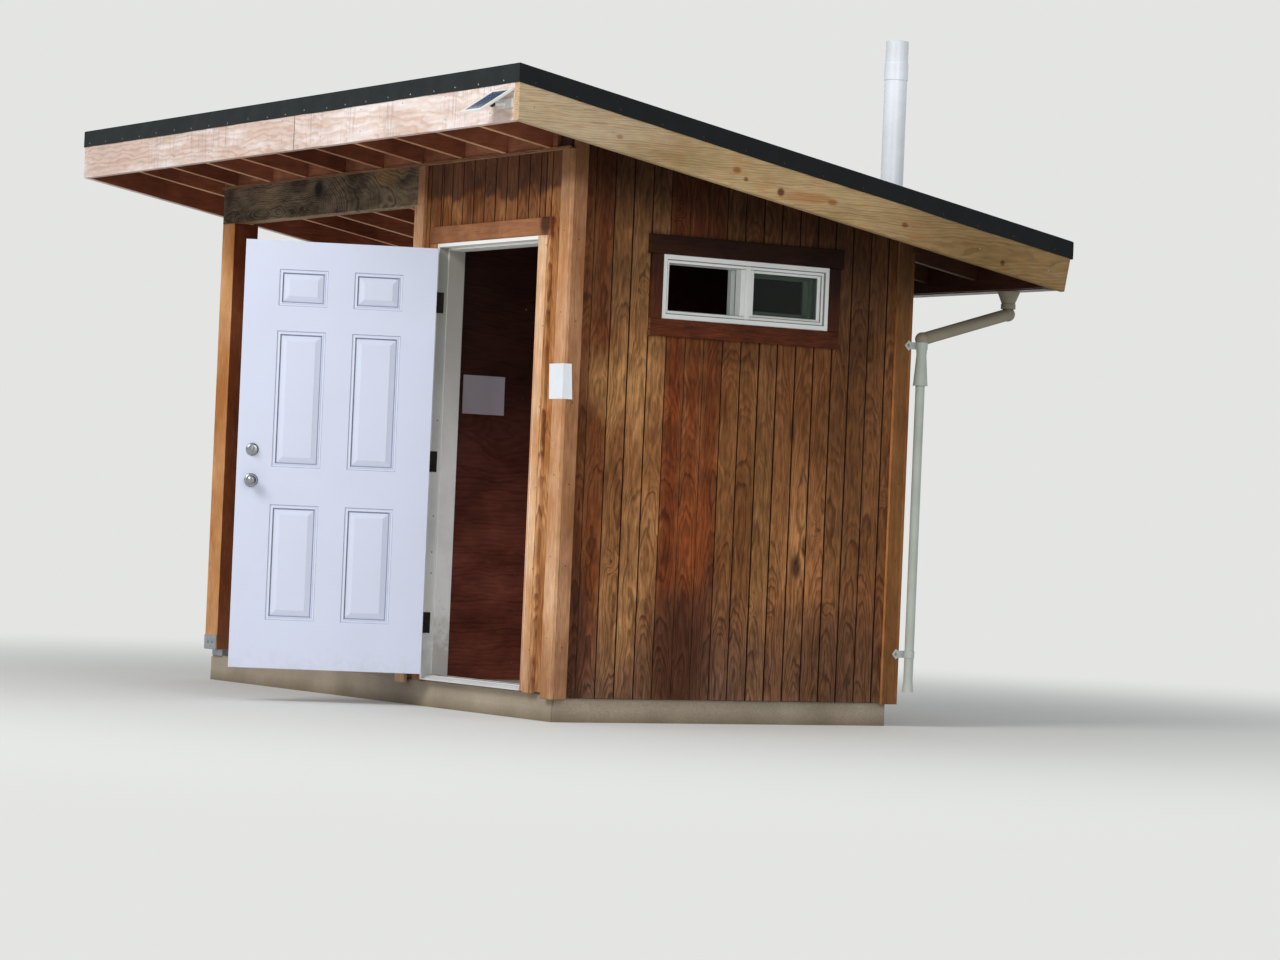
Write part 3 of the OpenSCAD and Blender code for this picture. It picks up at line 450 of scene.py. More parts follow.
# Hot-dip galvanised steel: dull spangle
GALVANISED = coated("galvanised_steel", "#b3b7bb", "#7d7f80", 0.42, 0.5, grain=120.0, metallic=0.8,
                    dirt_scale=40.0)
# Oil-rubbed bronze hinges
BRONZE = coated("dark_bronze", "#2f2b27", "#59534a", 0.45, 0.4, metallic=0.6, dirt_scale=60.0)
# Satin nickel knob and turn
NICKEL = coated("satin_nickel", "#a4a7ab", "#6f7072", 0.25, 0.25, metallic=1.0, dirt_scale=30.0)
# Zinc-plated screws and nails, dulled by rain
ZINC = coated("zinc_screw", "#9a9a98", "#5f5a52", 0.4, 0.6, metallic=0.8, dirt_scale=300.0)
# Steel nail heads that rusted into the boards
RUST = coated("rusted_nail", "#4a3226", "#2a1c16", 0.8, 0.6, metallic=0.2, dirt_scale=300.0)
# Blue-black bitumen membrane on the roof's edge
MEMBRANE = coated("bitumen_membrane", "#0c1011", "#1a1f20", 0.6, 0.4, grain=220.0, bump=0.4, dirt_scale=9.0,
                  sheen=0.2)
# The same membrane on the front, slate grey: dust, and a painted reflection of the bright clearing
DUST_AND_SHEEN_MEMBRANE = coated("bitumen_membrane_dust_and_sheen", "#12181a", "#272e2f", 0.6, 0.5, grain=220.0, bump=0.4,
                        dirt_scale=9.0, sheen=0.3)
# Rubber boot round the vent pipe
RUBBER = coated("rubber_boot", "#1b1c1d", "#3c3c3a", 0.6, 0.4)
# White paper, a little yellowed
PAPER = coated("paper", "#dfe3e8", "#c9c6bb", 0.8, 0.3, dirt_scale=14.0)
# A notice behind a dull sleeve, mauve-grey in the room's shade
SLEEVE = coated("sleeved_paper", "#cdc4d0", "#d3c8d0", 0.35, 0.3, dirt_scale=10.0)
# Black moulded plastic
BLACK_PLASTIC = coated("black_abs", "#141516", "#2c2d2e", 0.4, 0.3)
# Conifer needles, dried to straw and rust brown
DRY_NEEDLE = coated("dry_conifer_needle", "#9a7440", "#6b3f1f", 0.75, 0.8, dirt_scale=30.0)
# Pale moulded plastic of the light's panel
PALE_PLASTIC = coated("pale_abs", "#eceae5", "#9a958a", 0.45, 0.3)


def roofing():
    """Mineral-surfaced roofing: dark grey granules of 2 mm with lighter specks and forest dust."""
    mat, node = new_material("mineral_roofing")
    place = node("TexCoord").outputs["Object"]
    grit = node("TexVoronoi", {"Vector": place, "Scale": 420.0})
    tint = node("SeparateColor", (grit.outputs["Color"],))
    broad = node("TexNoise", {"Vector": place, "Scale": 1.6, "Detail": 5.0})
    dust = node("MapRange", (broad, 0.5, 0.75, 0.0, 0.5))
    colour = node("Mix", (dust, node("Mix", (tint, "#1f2426", "#474d4e")), "#4d4a35"))
    bump = node("Bump", {"Height": tint, "Strength": 0.5, "Distance": 1.0 * MM})
    return close_material(mat, node, {"Base Color": colour, "Roughness": 0.88, "Normal": bump})


def pane_glass():
    """Clear float glass, green in its depth and dusty. Its index is set low, so that the bright room round it
    shows as faintly in it as the shaded clearing does."""
    mat, node = new_material("window_glass")
    place = node("TexCoord").outputs["Object"]
    dust = node("TexNoise", {"Vector": place, "Scale": 18.0, "Detail": 4.0})
    haze = node("MapRange", (dust, 0.5, 0.8, 0.0, 0.05))
    film = node("MapRange", (dust, 0.4, 0.8, 0.0, 0.3))
    colour = node("Mix", (film, "#9ba89d", "#8b988e"))
    return close_material(mat, node, {"Base Color": colour, "Roughness": haze, "Transmission Weight": 1.0,
                                      "IOR": 1.25})


def solar_cells():
    """Dark blue cells of 26 mm with fine pale bus lines under a sheet of glass."""
    mat, node = new_material("solar_cells")
    uv = node("UVMap", uv_map="grain").outputs[0]
    split = node("SeparateXYZ", (uv,))
    across = node("Math", (split.outputs[0], CELL / 2), "PINGPONG")
    along = node("Math", (split.outputs[1], CELL / 2), "PINGPONG")
    gap = node("Math", (across, along), "MINIMUM")
    fine = node("Math", (split.outputs[1], 2.2 * MM), "PINGPONG")
    line = node("MapRange", (gap, 0.4 * MM, 0.9 * MM, 1.0, 0.0))
    finger = node("MapRange", (fine, 0.25 * MM, 0.5 * MM, 0.22, 0.0))
    tone = node("TexNoise", {"Vector": uv, "Scale": 60.0, "Detail": 2.0})
    cell = node("Mix", (tone, "#1d3152", "#34507f"))
    colour = node("Mix", (node("Math", (line, finger), "MAXIMUM"), cell, "#9aa5b3"))
    return close_material(mat, node, {"Base Color": colour, "Roughness": 0.18, "Coat Weight": 0.6,
                                      "Coat Roughness": 0.05})


CELL = 26 * MM
CONCRETE, ROOFING, GLASS, CELLS = concrete(), roofing(), pane_glass(), solar_cells()


# Mesh helpers
def new_mesh():
    """An empty mesh with the grain map and the values that the wood materials read."""
    bm = bmesh.new()
    bm.loops.layers.uv.new("grain")
    for value in FACE_VALUES:
        bm.faces.layers.float.new(value)
    return bm


def enrol(name, mesh, node_name, body="building", replaced=True):
    """Makes a mesh a piece that rides on a body and, unless it is an addition, stands for its CAD node."""
    obj = bpy.data.objects.new(name, mesh)
    bpy.context.scene.collection.objects.link(obj)
    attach(obj, body)
    if replaced:
        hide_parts(node_name)


def finish_piece(bm, name, materials, node_name, body="building", replaced=True, smooth_angle=None):
    """Makes a piece of a mesh in the making. Edges under smooth_angle, in degrees, are shaded smooth."""
    mesh = bpy.data.meshes.new(name)
    bm.to_mesh(mesh)
    bm.free()
    for mat in materials:
        mesh.materials.append(mat)
    if smooth_angle is not None:
        mesh.shade_smooth()
        mesh.set_sharp_from_angle(angle=math.radians(smooth_angle))
    enrol(name, mesh, node_name, body, replaced)


def inset(outline, distance):
    """A convex outline, listed anticlockwise, moved inwards by a distance."""
    if not distance:
        return [Vector(p) for p in outline]
    lines = []
    for i, start in enumerate(outline):
        a, b = Vector(start), Vector(outline[(i + 1) % len(outline)])
        along = (b - a).normalized()
        lines.append((a + Vector((-along.y, along.x)) * distance, along))
    points = []
    for i, (q, s) in enumerate(lines):
        p, r = lines[i - 1]
        points.append(p + r * ((q - p).cross(s) / r.cross(s)))
    return points


def board(bm, place, outline, thick, seed, tone=0.5, grain="y", chamfer=EASED, back=0.0, under_tone=None,
          end_tone=None, slot=0, edge=0.0):
    """One board: an outline in its own plane, made solid along the plane's normal, with eased edges.
    place is the plane's origin and its two axes. Grain runs along the plane's y or x. edge is how far its
    narrow faces take the dirt colour, from 0 to 1: dirt and painted shade in the joints. Faces that look
    down take under_tone, a paler tone painted for the light from below."""
    origin, ex, ey = (Vector(v) for v in place)
    en = ex.cross(ey).normalized()
    uv = bm.loops.layers.uv["grain"]
    seeds, tones, ends, edges = (bm.faces.layers.float[value] for value in FACE_VALUES)
    levels = [(0.0, back)]
    if back:
        levels.append((back, 0.0))
    if chamfer:
        levels.append((thick - chamfer, 0.0))
    levels.append((thick, chamfer))
    rings = []
    for depth, shrink in levels:
        flat = inset(outline, shrink)
        rings.append([(bm.verts.new(origin + ex * p.x + ey * p.y + en * depth), p.x, p.y, depth)
                      for p in flat])
    count = len(outline)
    quads = [list(reversed(rings[0])), list(rings[-1])]
    for lower, upper in zip(rings, rings[1:]):
        for i in range(count):
            j = (i + 1) % count
            quads.append([lower[i], lower[j], upper[j], upper[i]])
    lengthwise = grain == "y"
    along = ey if lengthwise else ex
    mid_x = sum(p[0] for p in outline) / count
    mid_y = sum(p[1] for p in outline) / count
    for number, ring in enumerate(quads):
        face = bm.faces.new([c[0] for c in ring])
        face.normal_update()
        face.material_index = slot
        face[edges] = edge if number > 1 else 0.0
        face[seeds] = seed
        face[tones] = tone
        # Faces that look down take a paler tone: painted light bouncing up from the ground
        if under_tone is not None and face.normal.z < -0.7:
            face[tones] = under_tone
        at_end = abs(face.normal.dot(along)) > 0.75
        face[ends] = 1.0 if at_end else 0.0
        if at_end and end_tone is not None:
            face[tones] = end_tone
            face[ends] = 0.3
        for loop, (_, a, b, c) in zip(face.loops, ring):
            run, off = (b, a - mid_x) if lengthwise else (a, b - mid_y)
            loop[uv].uv = (c, off) if at_end else (run, off + (c if off > 0 else -c))


def rect(x0, y0, x1, y1):
    return [(x0, y0), (x1, y0), (x1, y1), (x0, y1)]


def refinish(bm, direction, slot=None, tone=None):
    """Gives the faces that look one way another finish or tone."""
    tones = bm.faces.layers.float["tone"]
    for face in bm.faces:
        if face.normal.dot(direction) > 0.9:
            face.material_index = face.material_index if slot is None else slot
            face[tones] = face[tones] if tone is None else tone


X, Y, Z = Vector((1, 0, 0)), Vector((0, 1, 0)), Vector((0, 0, 1))


def front_plane(y):
    """The plane of a board that faces the front, whose back lies at y."""
    return ((0, y, 0), X, Z)


def right_plane(x):
    return ((x, 0, 0), Y, Z)


def back_plane(y):
    """Faces the back: its x runs along -X."""
    return ((0, y, 0), -X, Z)


def left_plane(x):
    return ((x, 0, 0), -Y, Z)


def sloped(bm, x, thick, ya, yb, low, high, seed, tone, **more):
    """A board that faces right, with its foot and top level at a height or following a line of the roof."""
    ends = ((ya, low), (yb, low), (yb, high), (ya, high))
    outline = [(y, line(y) if callable(line) else line) for y, line in ends]
    board(bm, right_plane(x), outline, thick, seed, tone, **more)


def dice(*key):
    """A steady number from 0 to 1 for a named thing."""
    return random.Random(repr(key)).random()


# Geometry Nodes: what repeats
def node_group(name, sizes):
    """A tree with a geometry going in and out and named inputs for its sizes, the call that adds nodes to it,
    and those inputs."""
    tree = bpy.data.node_groups.new(name, "GeometryNodeTree")
    tree.interface.new_socket("Geometry", in_out="INPUT", socket_type="NodeSocketGeometry")
    for label, kind in sizes.items():
        tree.interface.new_socket(label, in_out="INPUT", socket_type="NodeSocket" + kind)
    tree.interface.new_socket("Geometry", in_out="OUTPUT", socket_type="NodeSocketGeometry")
    node = functools.partial(add, tree)
    return tree, node, node("NodeGroupInput").outputs


def made_real(node, points, item, **more):
    """The item on each point, as a real mesh."""
    each = node("GeometryNodeInstanceOnPoints", {"Points": points, "Instance": item, **more})
    return node("GeometryNodeRealizeInstances", {"Geometry": each})


def close_group(tree, node, given, whole):
    """Ends a tree with the finish and the output."""
    done = node("GeometryNodeSetMaterial", {"Geometry": whole, "Material": given["Finish"]})
    node("NodeGroupOutput", {"Geometry": done})
    return tree


def rafter_tree():
    """Repeats a rafter sideways at one spacing, each with its own figure in the wood."""
    tree, node, given = node_group("rafter_row", {"Rafter count": "Int", "Rafter spacing": "Float",
                                                  "Seed": "Int", "Finish": "Material"})
    step = node("CombineXYZ", (node("Math", (given["Rafter spacing"], -1.0), "MULTIPLY"),))
    row = node("GeometryNodeMeshLine", {"Count": given["Rafter count"], "Offset": step})
    island = node("GeometryNodeInputMeshIsland").outputs["Island Index"]
    luck = node("FunctionNodeRandomValue", {2: 0.0, 3: 1.0, "ID": island, "Seed": given["Seed"]})
    kept = node("GeometryNodeStoreNamedAttribute", {"Geometry": made_real(node, row, given["Geometry"]),
                                                    "Name": "seed", "Value": luck}, domain="FACE")
    return close_group(tree, node, given, kept)


def head_tree():
    """Sets the low head of a nail, screw or bolt on each point, facing along the point's own direction."""
    tree, node, given = node_group("fastener_heads", {"Head diameter": "Float", "Head height": "Float",
                                                      "Finish": "Material"})
    radius = node("Math", (given["Head diameter"], 0.5), "MULTIPLY")
    crown = node("Math", (radius, 0.62), "MULTIPLY")
    head = node("GeometryNodeMeshCone", {"Vertices": 10, "Radius Top": crown, "Radius Bottom": radius,
                                         "Depth": given["Head height"]})
    facing = node("GeometryNodeInputNamedAttribute", {"Name": "facing"}, data_type="FLOAT_VECTOR")
    turn = node("FunctionNodeAlignRotationToVector", {"Vector": facing}, axis="Z")
    return close_group(tree, node, given, made_real(node, given["Geometry"], head, Rotation=turn))


def needle_tree():
    """Scatters dry conifer needles over the faces that look up."""
    tree, node, given = node_group("fallen_needles", {
        "Needles per square metre": "Float", "Needle length": "Float", "Needle width": "Float", "Seed": "Int",
        "Finish": "Material"})
    height = node("SeparateXYZ", (node("GeometryNodeInputNormal"),)).outputs[2]
    upward = node("FunctionNodeCompare", {0: height, 1: 0.5}, "GREATER_THAN")
    spread = node("GeometryNodeDistributePointsOnFaces",
                  {"Mesh": given["Geometry"], "Selection": upward,
                   "Density": given["Needles per square metre"], "Seed": given["Seed"]})
    size = node("CombineXYZ", (given["Needle length"], given["Needle width"], given["Needle width"]))
    needle = node("GeometryNodeMeshCube", {"Size": size})
    spin = node("FunctionNodeRandomValue", {0: (0.0, -0.1, 0.0), 1: (0.0, 0.1, 2 * math.pi),
                                            "Seed": given["Seed"]}, data_type="FLOAT_VECTOR")
    spin = node("FunctionNodeEulerToRotation", {"Euler": spin})
    turn = node("FunctionNodeRotateRotation", {"Rotation": spread.outputs["Rotation"], "Rotate By": spin},
                rotation_space="LOCAL")
    long = node("FunctionNodeRandomValue", {2: 0.5, 3: 1.2, "Seed": given["Seed"]})
    return close_group(tree, node, given, made_real(node, spread, needle, Rotation=turn, Scale=long))


RAFTER_TREE, HEAD_TREE, NEEDLE_TREE = rafter_tree(), head_tree(), needle_tree()


def grown(name, mesh, tree, sizes, node_name, body="building", replaced=False):
    """Runs a node tree on a mesh and keeps the result as a piece with a plain mesh."""
    holder = bpy.data.objects.new(name + "_base", mesh)
    bpy.context.scene.collection.objects.link(holder)
    run = holder.modifiers.new("grow", "NODES")
    run.node_group = tree
    for socket in tree.interface.items_tree:
        if socket.in_out == "INPUT" and socket.name in sizes:
            run[socket.identifier] = sizes[socket.name]
    made = bpy.data.meshes.new_from_object(holder.evaluated_get(bpy.context.evaluated_depsgraph_get()))
    holder.modifiers.remove(run)
    bpy.data.objects.remove(holder)
    made.name = name
    enrol(name, made, node_name, body, replaced)


def heads(name, spots, wide, tall, finish, node_name, body="building"):
    """Fastener heads at places, each given with the direction that it faces. Their sizes are in mm."""
    mesh = bpy.data.meshes.new(name + "_places")
    mesh.from_pydata([place for place, _ in spots], [], [])
    facing = mesh.attributes.new("facing", "FLOAT_VECTOR", "POINT")
    for item, (_, out) in zip(facing.data, spots):
        item.vector = out
    sizes = {"Head diameter": wide * MM, "Head height": tall * MM, "Finish": finish}
    grown(name, mesh, HEAD_TREE, sizes, node_name, body)


def slab():
    """A poured block whose sides dip inwards by up to 3 mm."""
    bm = new_mesh()
    bmesh.ops.create_cube(bm, size=1.0)
    for v in bm.verts:
        v.co = Vector((SX0 if v.co.x < 0 else SX1, SY0 if v.co.y < 0 else SY1,
                       SZ0 if v.co.z < 0 else SLAB_TOP))
    level = [e for e in bm.edges if abs((e.verts[0].co - e.verts[1].co).z) < TINY]
    top = [e for e in level if e.verts[0].co.z > SLAB_TOP - TINY]
    upright = [e for e in bm.edges if e not in level]
    bmesh.ops.bevel(bm, geom=top + upright, offset=8 * MM, segments=2, affect="EDGES")
    long_edges = [e for e in bm.edges if e.calc_length() > 0.3]
    bmesh.ops.subdivide_edges(bm, edges=long_edges, cuts=24, use_grid_fill=True)
    # Unseeded, noise_vector would start from the clock
    noise.seed_set(11)
    for v in bm.verts:
        if SZ0 + TINY < v.co.z < SLAB_TOP - TINY:
            n = noise.noise_vector(v.co * 6.0)
            inward = Vector((-math.copysign(1, v.co.x) if abs(v.co.x) > SX1 - 0.02 else 0,
                             -math.copysign(1, v.co.y) if abs(v.co.y) > SY1 - 0.02 else 0, 0))
            v.co += inward * abs(n.x) * 3 * MM
    finish_piece(bm, "slab_concrete", [CONCRETE], "slab")


# Siding: tongue-and-groove boards whose joints lie on one lattice for each wall
BOARD = 103.2 * MM
JOINT = 5 * MM
FRONT_LATTICE = 0.5523
SIDE_LATTICE = -0.7204
# Boards of the right wall that kept their red stain, counted from the lattice's start
RED_SIDE_BOARDS = (-2, -1, 3, 4, 5)
WALL = 120 * MM
# Width of a plywood sheet, half its length
SHEET = 1.22


def lattice(low, high, start):
    """The boards between two places, as (number, from, to)."""
    number = math.floor((low - start) / BOARD)
    while start + number * BOARD < high:
        a, b = max(low, start + number * BOARD), min(high, start + (number + 1) * BOARD)
        if b - a > 8 * MM:
            yield number, a, b
        number += 1


def front_tone(number):
    return 0.3 + 0.35 * dice("front", number)


def side_tone(number):
    if number in RED_SIDE_BOARDS:
        return 0.08 * dice("red", number)
    if number > 8:
        return 0.55 + 0.2 * dice("side", number)
    return 0.72 + 0.28 * dice("side", number)


def siding_run(bm, place, low, high, start, bottom, top_at, tone_of, flip=False, hole=None):
    """Boards side by side, their tops cut to a line, left out where the hole is. A red board's joints are
    tighter, with less dirt and painted shade in them."""
    for number, a, b in lattice(low, high, start):
        held = tone_of is side_tone and number in RED_SIDE_BOARDS
        shut = 0.35 if held else 0.6 + 0.6 * dice("joint", number)
        a_in = a + JOINT / 2 * shut
        b_in = b - JOINT / 2 * shut
        spans = [(bottom, None)]
        if hole and a < hole[2] and b > hole[0]:
            spans = [(bottom, hole[1]), (hole[3], None)]
        seed = dice("board", place[0][0] + place[0][1], number)
        thick = TRIM - 1.2 * MM + (dice("proud", number, bottom) - 0.5) * 0.8 * MM
        left, right = (b_in, a_in) if flip else (a_in, b_in)
        sign = -1 if flip else 1
        for z0, z1 in spans:
            outline = [(sign * left, z0), (sign * right, z0), (sign * right, z1 or top_at(right)),
                       (sign * left, z1 or top_at(left))]
            board(bm, place, outline, thick, seed, tone_of(number), edge=0.35 if held else 1.0)


def front_walls():
    for part in ("left", "right", "over_door"):
        name = "front_wall_" + part
        x0, y0, z0, x1, y1, _ = corners(name)
        bm = new_mesh()
        tone_of = (lambda _: 0.95) if part == "right" else front_tone
        siding_run(bm, front_plane(y0 + TRIM), x0, x1, FRONT_LATTICE, z0, lambda _: under(y0) - 1 * MM,
                   tone_of)
        sloped(bm, x0, x1 - x0, y0 + TRIM, y1, max(z0, SLAB_TOP), under, 0.3, 0.3, chamfer=0.0, slot=1)
        refinish(bm, -X, slot=0)
        finish_piece(bm, name + "_boards", [FRONT_SIDING, PLYWOOD], name)


def right_wall():
    x0, y0, z0, x1, y1, _ = corners("right_wall")
    _, wy0, wz0, _, wy1, wz1 = corners("window_frame")
    bm = new_mesh()
    siding_run(bm, right_plane(x1 - TRIM), y0, y1, SIDE_LATTICE, z0, lambda y: over(y) - 1 * MM, side_tone,
               hole=(wy0, wz0, wy1, wz1))
    ya, yb = y0 + WALL, y1 - WALL
    lining = ((ya, wy0, SLAB_TOP, over), (wy1, yb, SLAB_TOP, over), (wy0, wy1, SLAB_TOP, wz0),
              (wy0, wy1, wz1, over), (y0, ya, under, over), (yb, y1, under, over))
    for a, b, low, high in lining:
        sloped(bm, x0, x1 - TRIM - 1 * MM - x0, a, b, low, high, 0.4, 0.3, chamfer=0.0, slot=1)
    finish_piece(bm, "right_wall_boards", [SIDING, PLYWOOD], "right_wall")


def back_wall():
    x0, y0, z0, x1, y1, _ = corners("back_wall")
    bm = new_mesh()
    siding_run(bm, back_plane(y1 - TRIM), x0, x1, FRONT_LATTICE, z0, lambda _: under(y1) - 1 * MM, side_tone,
               flip=True)
    sloped(bm, x0, x1 - x0, y0, y1 - TRIM, SLAB_TOP, under, 0.5, 0.3, chamfer=0.0, slot=1)
    refinish(bm, -X, slot=0)
    finish_piece(bm, "back_wall_boards", [SIDING, PLYWOOD], "back_wall")


def partition():
    x0, y0, z0, x1, y1, _ = corners("partition_wall")
    bm = new_mesh()
    siding_run(bm, left_plane(x0 + TRIM), y0, y1, SIDE_LATTICE, z0, lambda y: under(y) - 1 * MM, front_tone,
               flip=True)
    sheets = [y0, y0 + SHEET, y1]
    gap = 1 * MM
    for a, b in zip(sheets, sheets[1:]):
        outline = [(a + gap, z0), (b - gap, z0), (b - gap, under(b)), (a + gap, under(a))]
        board(bm, right_plane(x0 + TRIM), outline, x1 - x0 - TRIM, dice("sheet", a), 0.4, grain="x",
              chamfer=gap, slot=1)
    finish_piece(bm, "partition_boards", [FRONT_SIDING, PLYWOOD], "partition_wall")


def corner_trims():
    """Two boards at each corner of the room. At the left they stand under the header beams."""
    for depth, side in (("front", "right"), ("back", "right"), ("front", "left"), ("back", "left")):
        name = f"{depth}_{side}_corner_trim"
        x0, y0, z0, x1, y1, _ = corners(name)
        bm = new_mesh()
        at_front, at_right = depth == "front", side == "right"
        a, b = (x1 - TRIM_WIDE, x1) if at_right else (x0, x0 + TRIM_WIDE)
        top = under(FRONT) - 11 * MM if at_front else under(BACK)
        _, _, beam_low, beam_end, _, _ = corners(depth + "_header_beam")
        boards = [(a, b, z0, top if at_right else beam_low)]
        if not at_right and beam_end < b - 5 * MM:
            boards.append((beam_end, b, beam_low, top))
        plane, sign = (front_plane(y0 + TRIM), 1) if at_front else (back_plane(y1 - TRIM), -1)
        seed = dice(name)
        for left, right, low, high in boards:
            left, right = sorted((sign * left, sign * right))
            board(bm, plane, rect(left, low, right, high), TRIM, seed, 0.85 if at_front else 0.45,
                  end_tone=0.4)
        ya, yb = (y0 + TRIM, y0 + TRIM_WIDE) if at_front else (y1 - TRIM_WIDE, y1 - TRIM)
        if at_right:
            tone = 0.42 if at_front else 0.28
            sloped(bm, x1 - TRIM, TRIM, ya, yb, z0, over, seed + 0.1, tone, end_tone=0.3)
        else:
            board(bm, left_plane(x0 + TRIM), rect(-yb, z0, -ya, beam_low), TRIM, seed + 0.1, 0.35,
                  end_tone=0.3)
        # The back trims' front edges take the bare tone: a painted highlight where light from the front falls
        if not at_front:
            refinish(bm, -Y, tone=1.0)
        finish_piece(bm, name + "_boards", [TRIM_WOOD if at_front else SHADED_TRIM], name)


def frieze():
    x0, y0, z0, x1, y1, _ = corners("front_frieze")
    bm = new_mesh()
    sloped(bm, x0, x1 - x0, y0, y1, z0, lambda y: under(y) - 0.2 * MM, 0.7, 0.9, grain="x", chamfer=0.0)
    finish_piece(bm, "front_frieze_strip", [TRIM_WOOD], "front_frieze")


def casing():
    """Boards round the doorway: left, right in two strips with a joint between them, and over it."""
    x0, _, z0, x1, y1, z1 = corners("door_casing")
    left, _, _, right, _, top = corners("door_frame")
    bm = new_mesh()
    plane = front_plane(y1)
    board(bm, plane, rect(x0, z0, left, top), TRIM, 0.21, 0.7, end_tone=0.4)
    board(bm, plane, rect(right, z0, right + 57 * MM, top), TRIM, 0.57, 1.0, end_tone=0.4, slot=1)
    board(bm, plane, rect(right + 60 * MM, z0, x1, top), TRIM - 1 * MM, 0.57, 0.7, end_tone=0.4)
    board(bm, plane, rect(x0, top + 1 * MM, x1, z1), TRIM, 0.83, 0.16, grain="x", end_tone=0.1, slot=1)
    finish_piece(bm, "door_casing_boards", [CASING_WOOD, TRIM_WOOD], "door_casing")


def window_trim():
    """Four boards: a wide head, and legs and a foot set in from its ends."""
    x0, y0, z0, _, y1, z1 = corners("window_trim")
    _, wy0, wz0, _, wy1, wz1 = corners("window_frame")
    bm = new_mesh()
    plane = right_plane(x0)
    leg = 16 * MM
    gap = 1 * MM
    board(bm, plane, rect(y0, wz1, y1, z1), TRIM, 0.13, 0.12, grain="x", end_tone=0.1)
    board(bm, plane, rect(y0 + leg, wz0, wy0, wz1 - gap), TRIM, 0.37, 0.14)
    board(bm, plane, rect(wy1, wz0, y1 - leg, wz1 - gap), TRIM, 0.61, 0.1)
    board(bm, plane, rect(y0 + leg, z0, y1 - leg, wz0 - gap), TRIM, 0.88, 0.05, grain="x")
    finish_piece(bm, "window_trim_boards", [WINDOW_TRIM_WOOD], "window_trim")


# Door frame, sill and leaf
def door_frame():
    x0, y0, z0, x1, y1, z1 = corners("door_frame")
    left, _, _, right, _, low = corners("threshold")
    head = z1 - (left - x0)
    stop = 12 * MM
    lap = 1 * MM
    rabbet = 49 * MM
    plane = front_plane(y1)
    bm = new_mesh()
    for a, b in ((x0, left), (right, x1)):
        board(bm, plane, rect(a, z0, b, z1), y1 - y0, 0.2, chamfer=1.5 * MM, back=1 * MM)
    board(bm, plane, rect(left + 0.2 * MM, head, right - 0.2 * MM, z1), y1 - y0, 0.2, chamfer=1.5 * MM)
    stops = (rect(left - lap, low, left + stop, head), rect(right - stop, low, right + lap, head),
             rect(left + stop, head - stop, right - stop, head + lap))
    for outline in stops:
        board(bm, plane, outline, y1 - y0 - rabbet, 0.2)
    # Faces that look to the front or down take the whiter primer: painted light
    refinish(bm, -Y, slot=1)
    refinish(bm, -Z, slot=1)
    for face in bm.faces:
        middle = face.calc_center_median()
        if face.normal.y < -0.9 and middle.x > right + lap:
            face.material_index = 3
            face[bm.faces.layers.float["tone"]] = 1.0
        # The left jamb's rabbet takes the greyer primer: painted shade of the leaf
        elif face.normal.x > 0.9 and middle.x < left + 2 * MM:
            face.material_index = 2
    finish_piece(bm, "door_frame_jambs", [JAMB_PAINT, LIT_STOP_PAINT, RABBET_SHADE_PAINT, TRIM_WOOD], "door_frame")


def sill():
    """An extruded sill: one outline in Y and Z with ribs 24 mm apart, drawn out along X."""
    x0, y0, z0, x1, y1, z1 = corners("threshold")
    bm = new_mesh()
    top = z1 - 1 * MM
    floor, crest = top - 3 * MM, z1 - 0.2 * MM
    foot, half, pitch = 5 * MM, 3 * MM, 24 * MM
    points = [(y0, z0), (y1, z0), (y1, floor), (y1 - 4 * MM, top)]
    y = y1 - 30 * MM
    while y > y0 + 30 * MM:
        points += [(y + foot, floor), (y + half, crest), (y - half, crest), (y - foot, floor)]
        y -= pitch
    points += [(y0 + 14 * MM, top - 4 * MM), (y0, top - 14 * MM)]
    left, right = ([bm.verts.new((x, *p)) for p in points] for x in (x0, x1))
    for i in range(len(points)):
        j = (i + 1) % len(points)
        bm.faces.new((left[i], left[j], right[j], right[i]))
    bmesh.ops.triangulate(bm, faces=[bm.faces.new(left[::-1]), bm.faces.new(right)])
    bm.normal_update()
    for face in bm.faces:
        part = (face.calc_center_median().y - y0) / (y1 - y0)
        if 0.5 < part < 0.68 and face.normal.z > 0.1:
            face.material_index = 1
    finish_piece(bm, "threshold_sill", [SILL_METAL, RUBBER], "threshold")


HINGE = frame["joints"][0]["pos_m"]
OPEN = math.radians(115)
LEAF_W, LEAF_H, LEAF_T = 914 * MM, 2032 * MM, 44 * MM
# How far the leaf's corner lies from the hinge pin, across the leaf and along it
PIN_OUT = 7 * MM
HINGE_GAP = 2.5 * MM
LEAF_LOW = corners("door_leaf")[2]
SWING = Matrix.Translation((HINGE[0], HINGE[1], 0)) @ Matrix.Rotation(-OPEN, 4, "Z")
# The leaf's stiles and panels. A row gives the height of its foot, then its own
STILE = 164 * MM
PANEL_W = 230 * MM
PANEL_ROWS = ((231 * MM, 547 * MM), (957 * MM, 647 * MM), (1723 * MM, 174 * MM))
# How a pressed panel steps in from its edge: distance inwards and depth, in mm
PANEL_STEPS = ((2, 2.2), (5, 4.0), (9, 4.0), (13, 1.8), (16, 2.6), (18.5, 8.4), (22, 8.8), (44, 2.0),
               (47, 0.8), (51, 0.6))
# The steps where paint lies in shade
PANEL_GROOVES = (0, 5, 6)
KNOB_Z, BOLT_Z, BACKSET = 889 * MM, 1035 * MM, 70 * MM


def ring_of(x0, z0, x1, z1, a):
    """A rectangle's corners, moved inwards by a distance."""
    return rect(x0 + a, z0 + a, x1 - a, z1 - a)


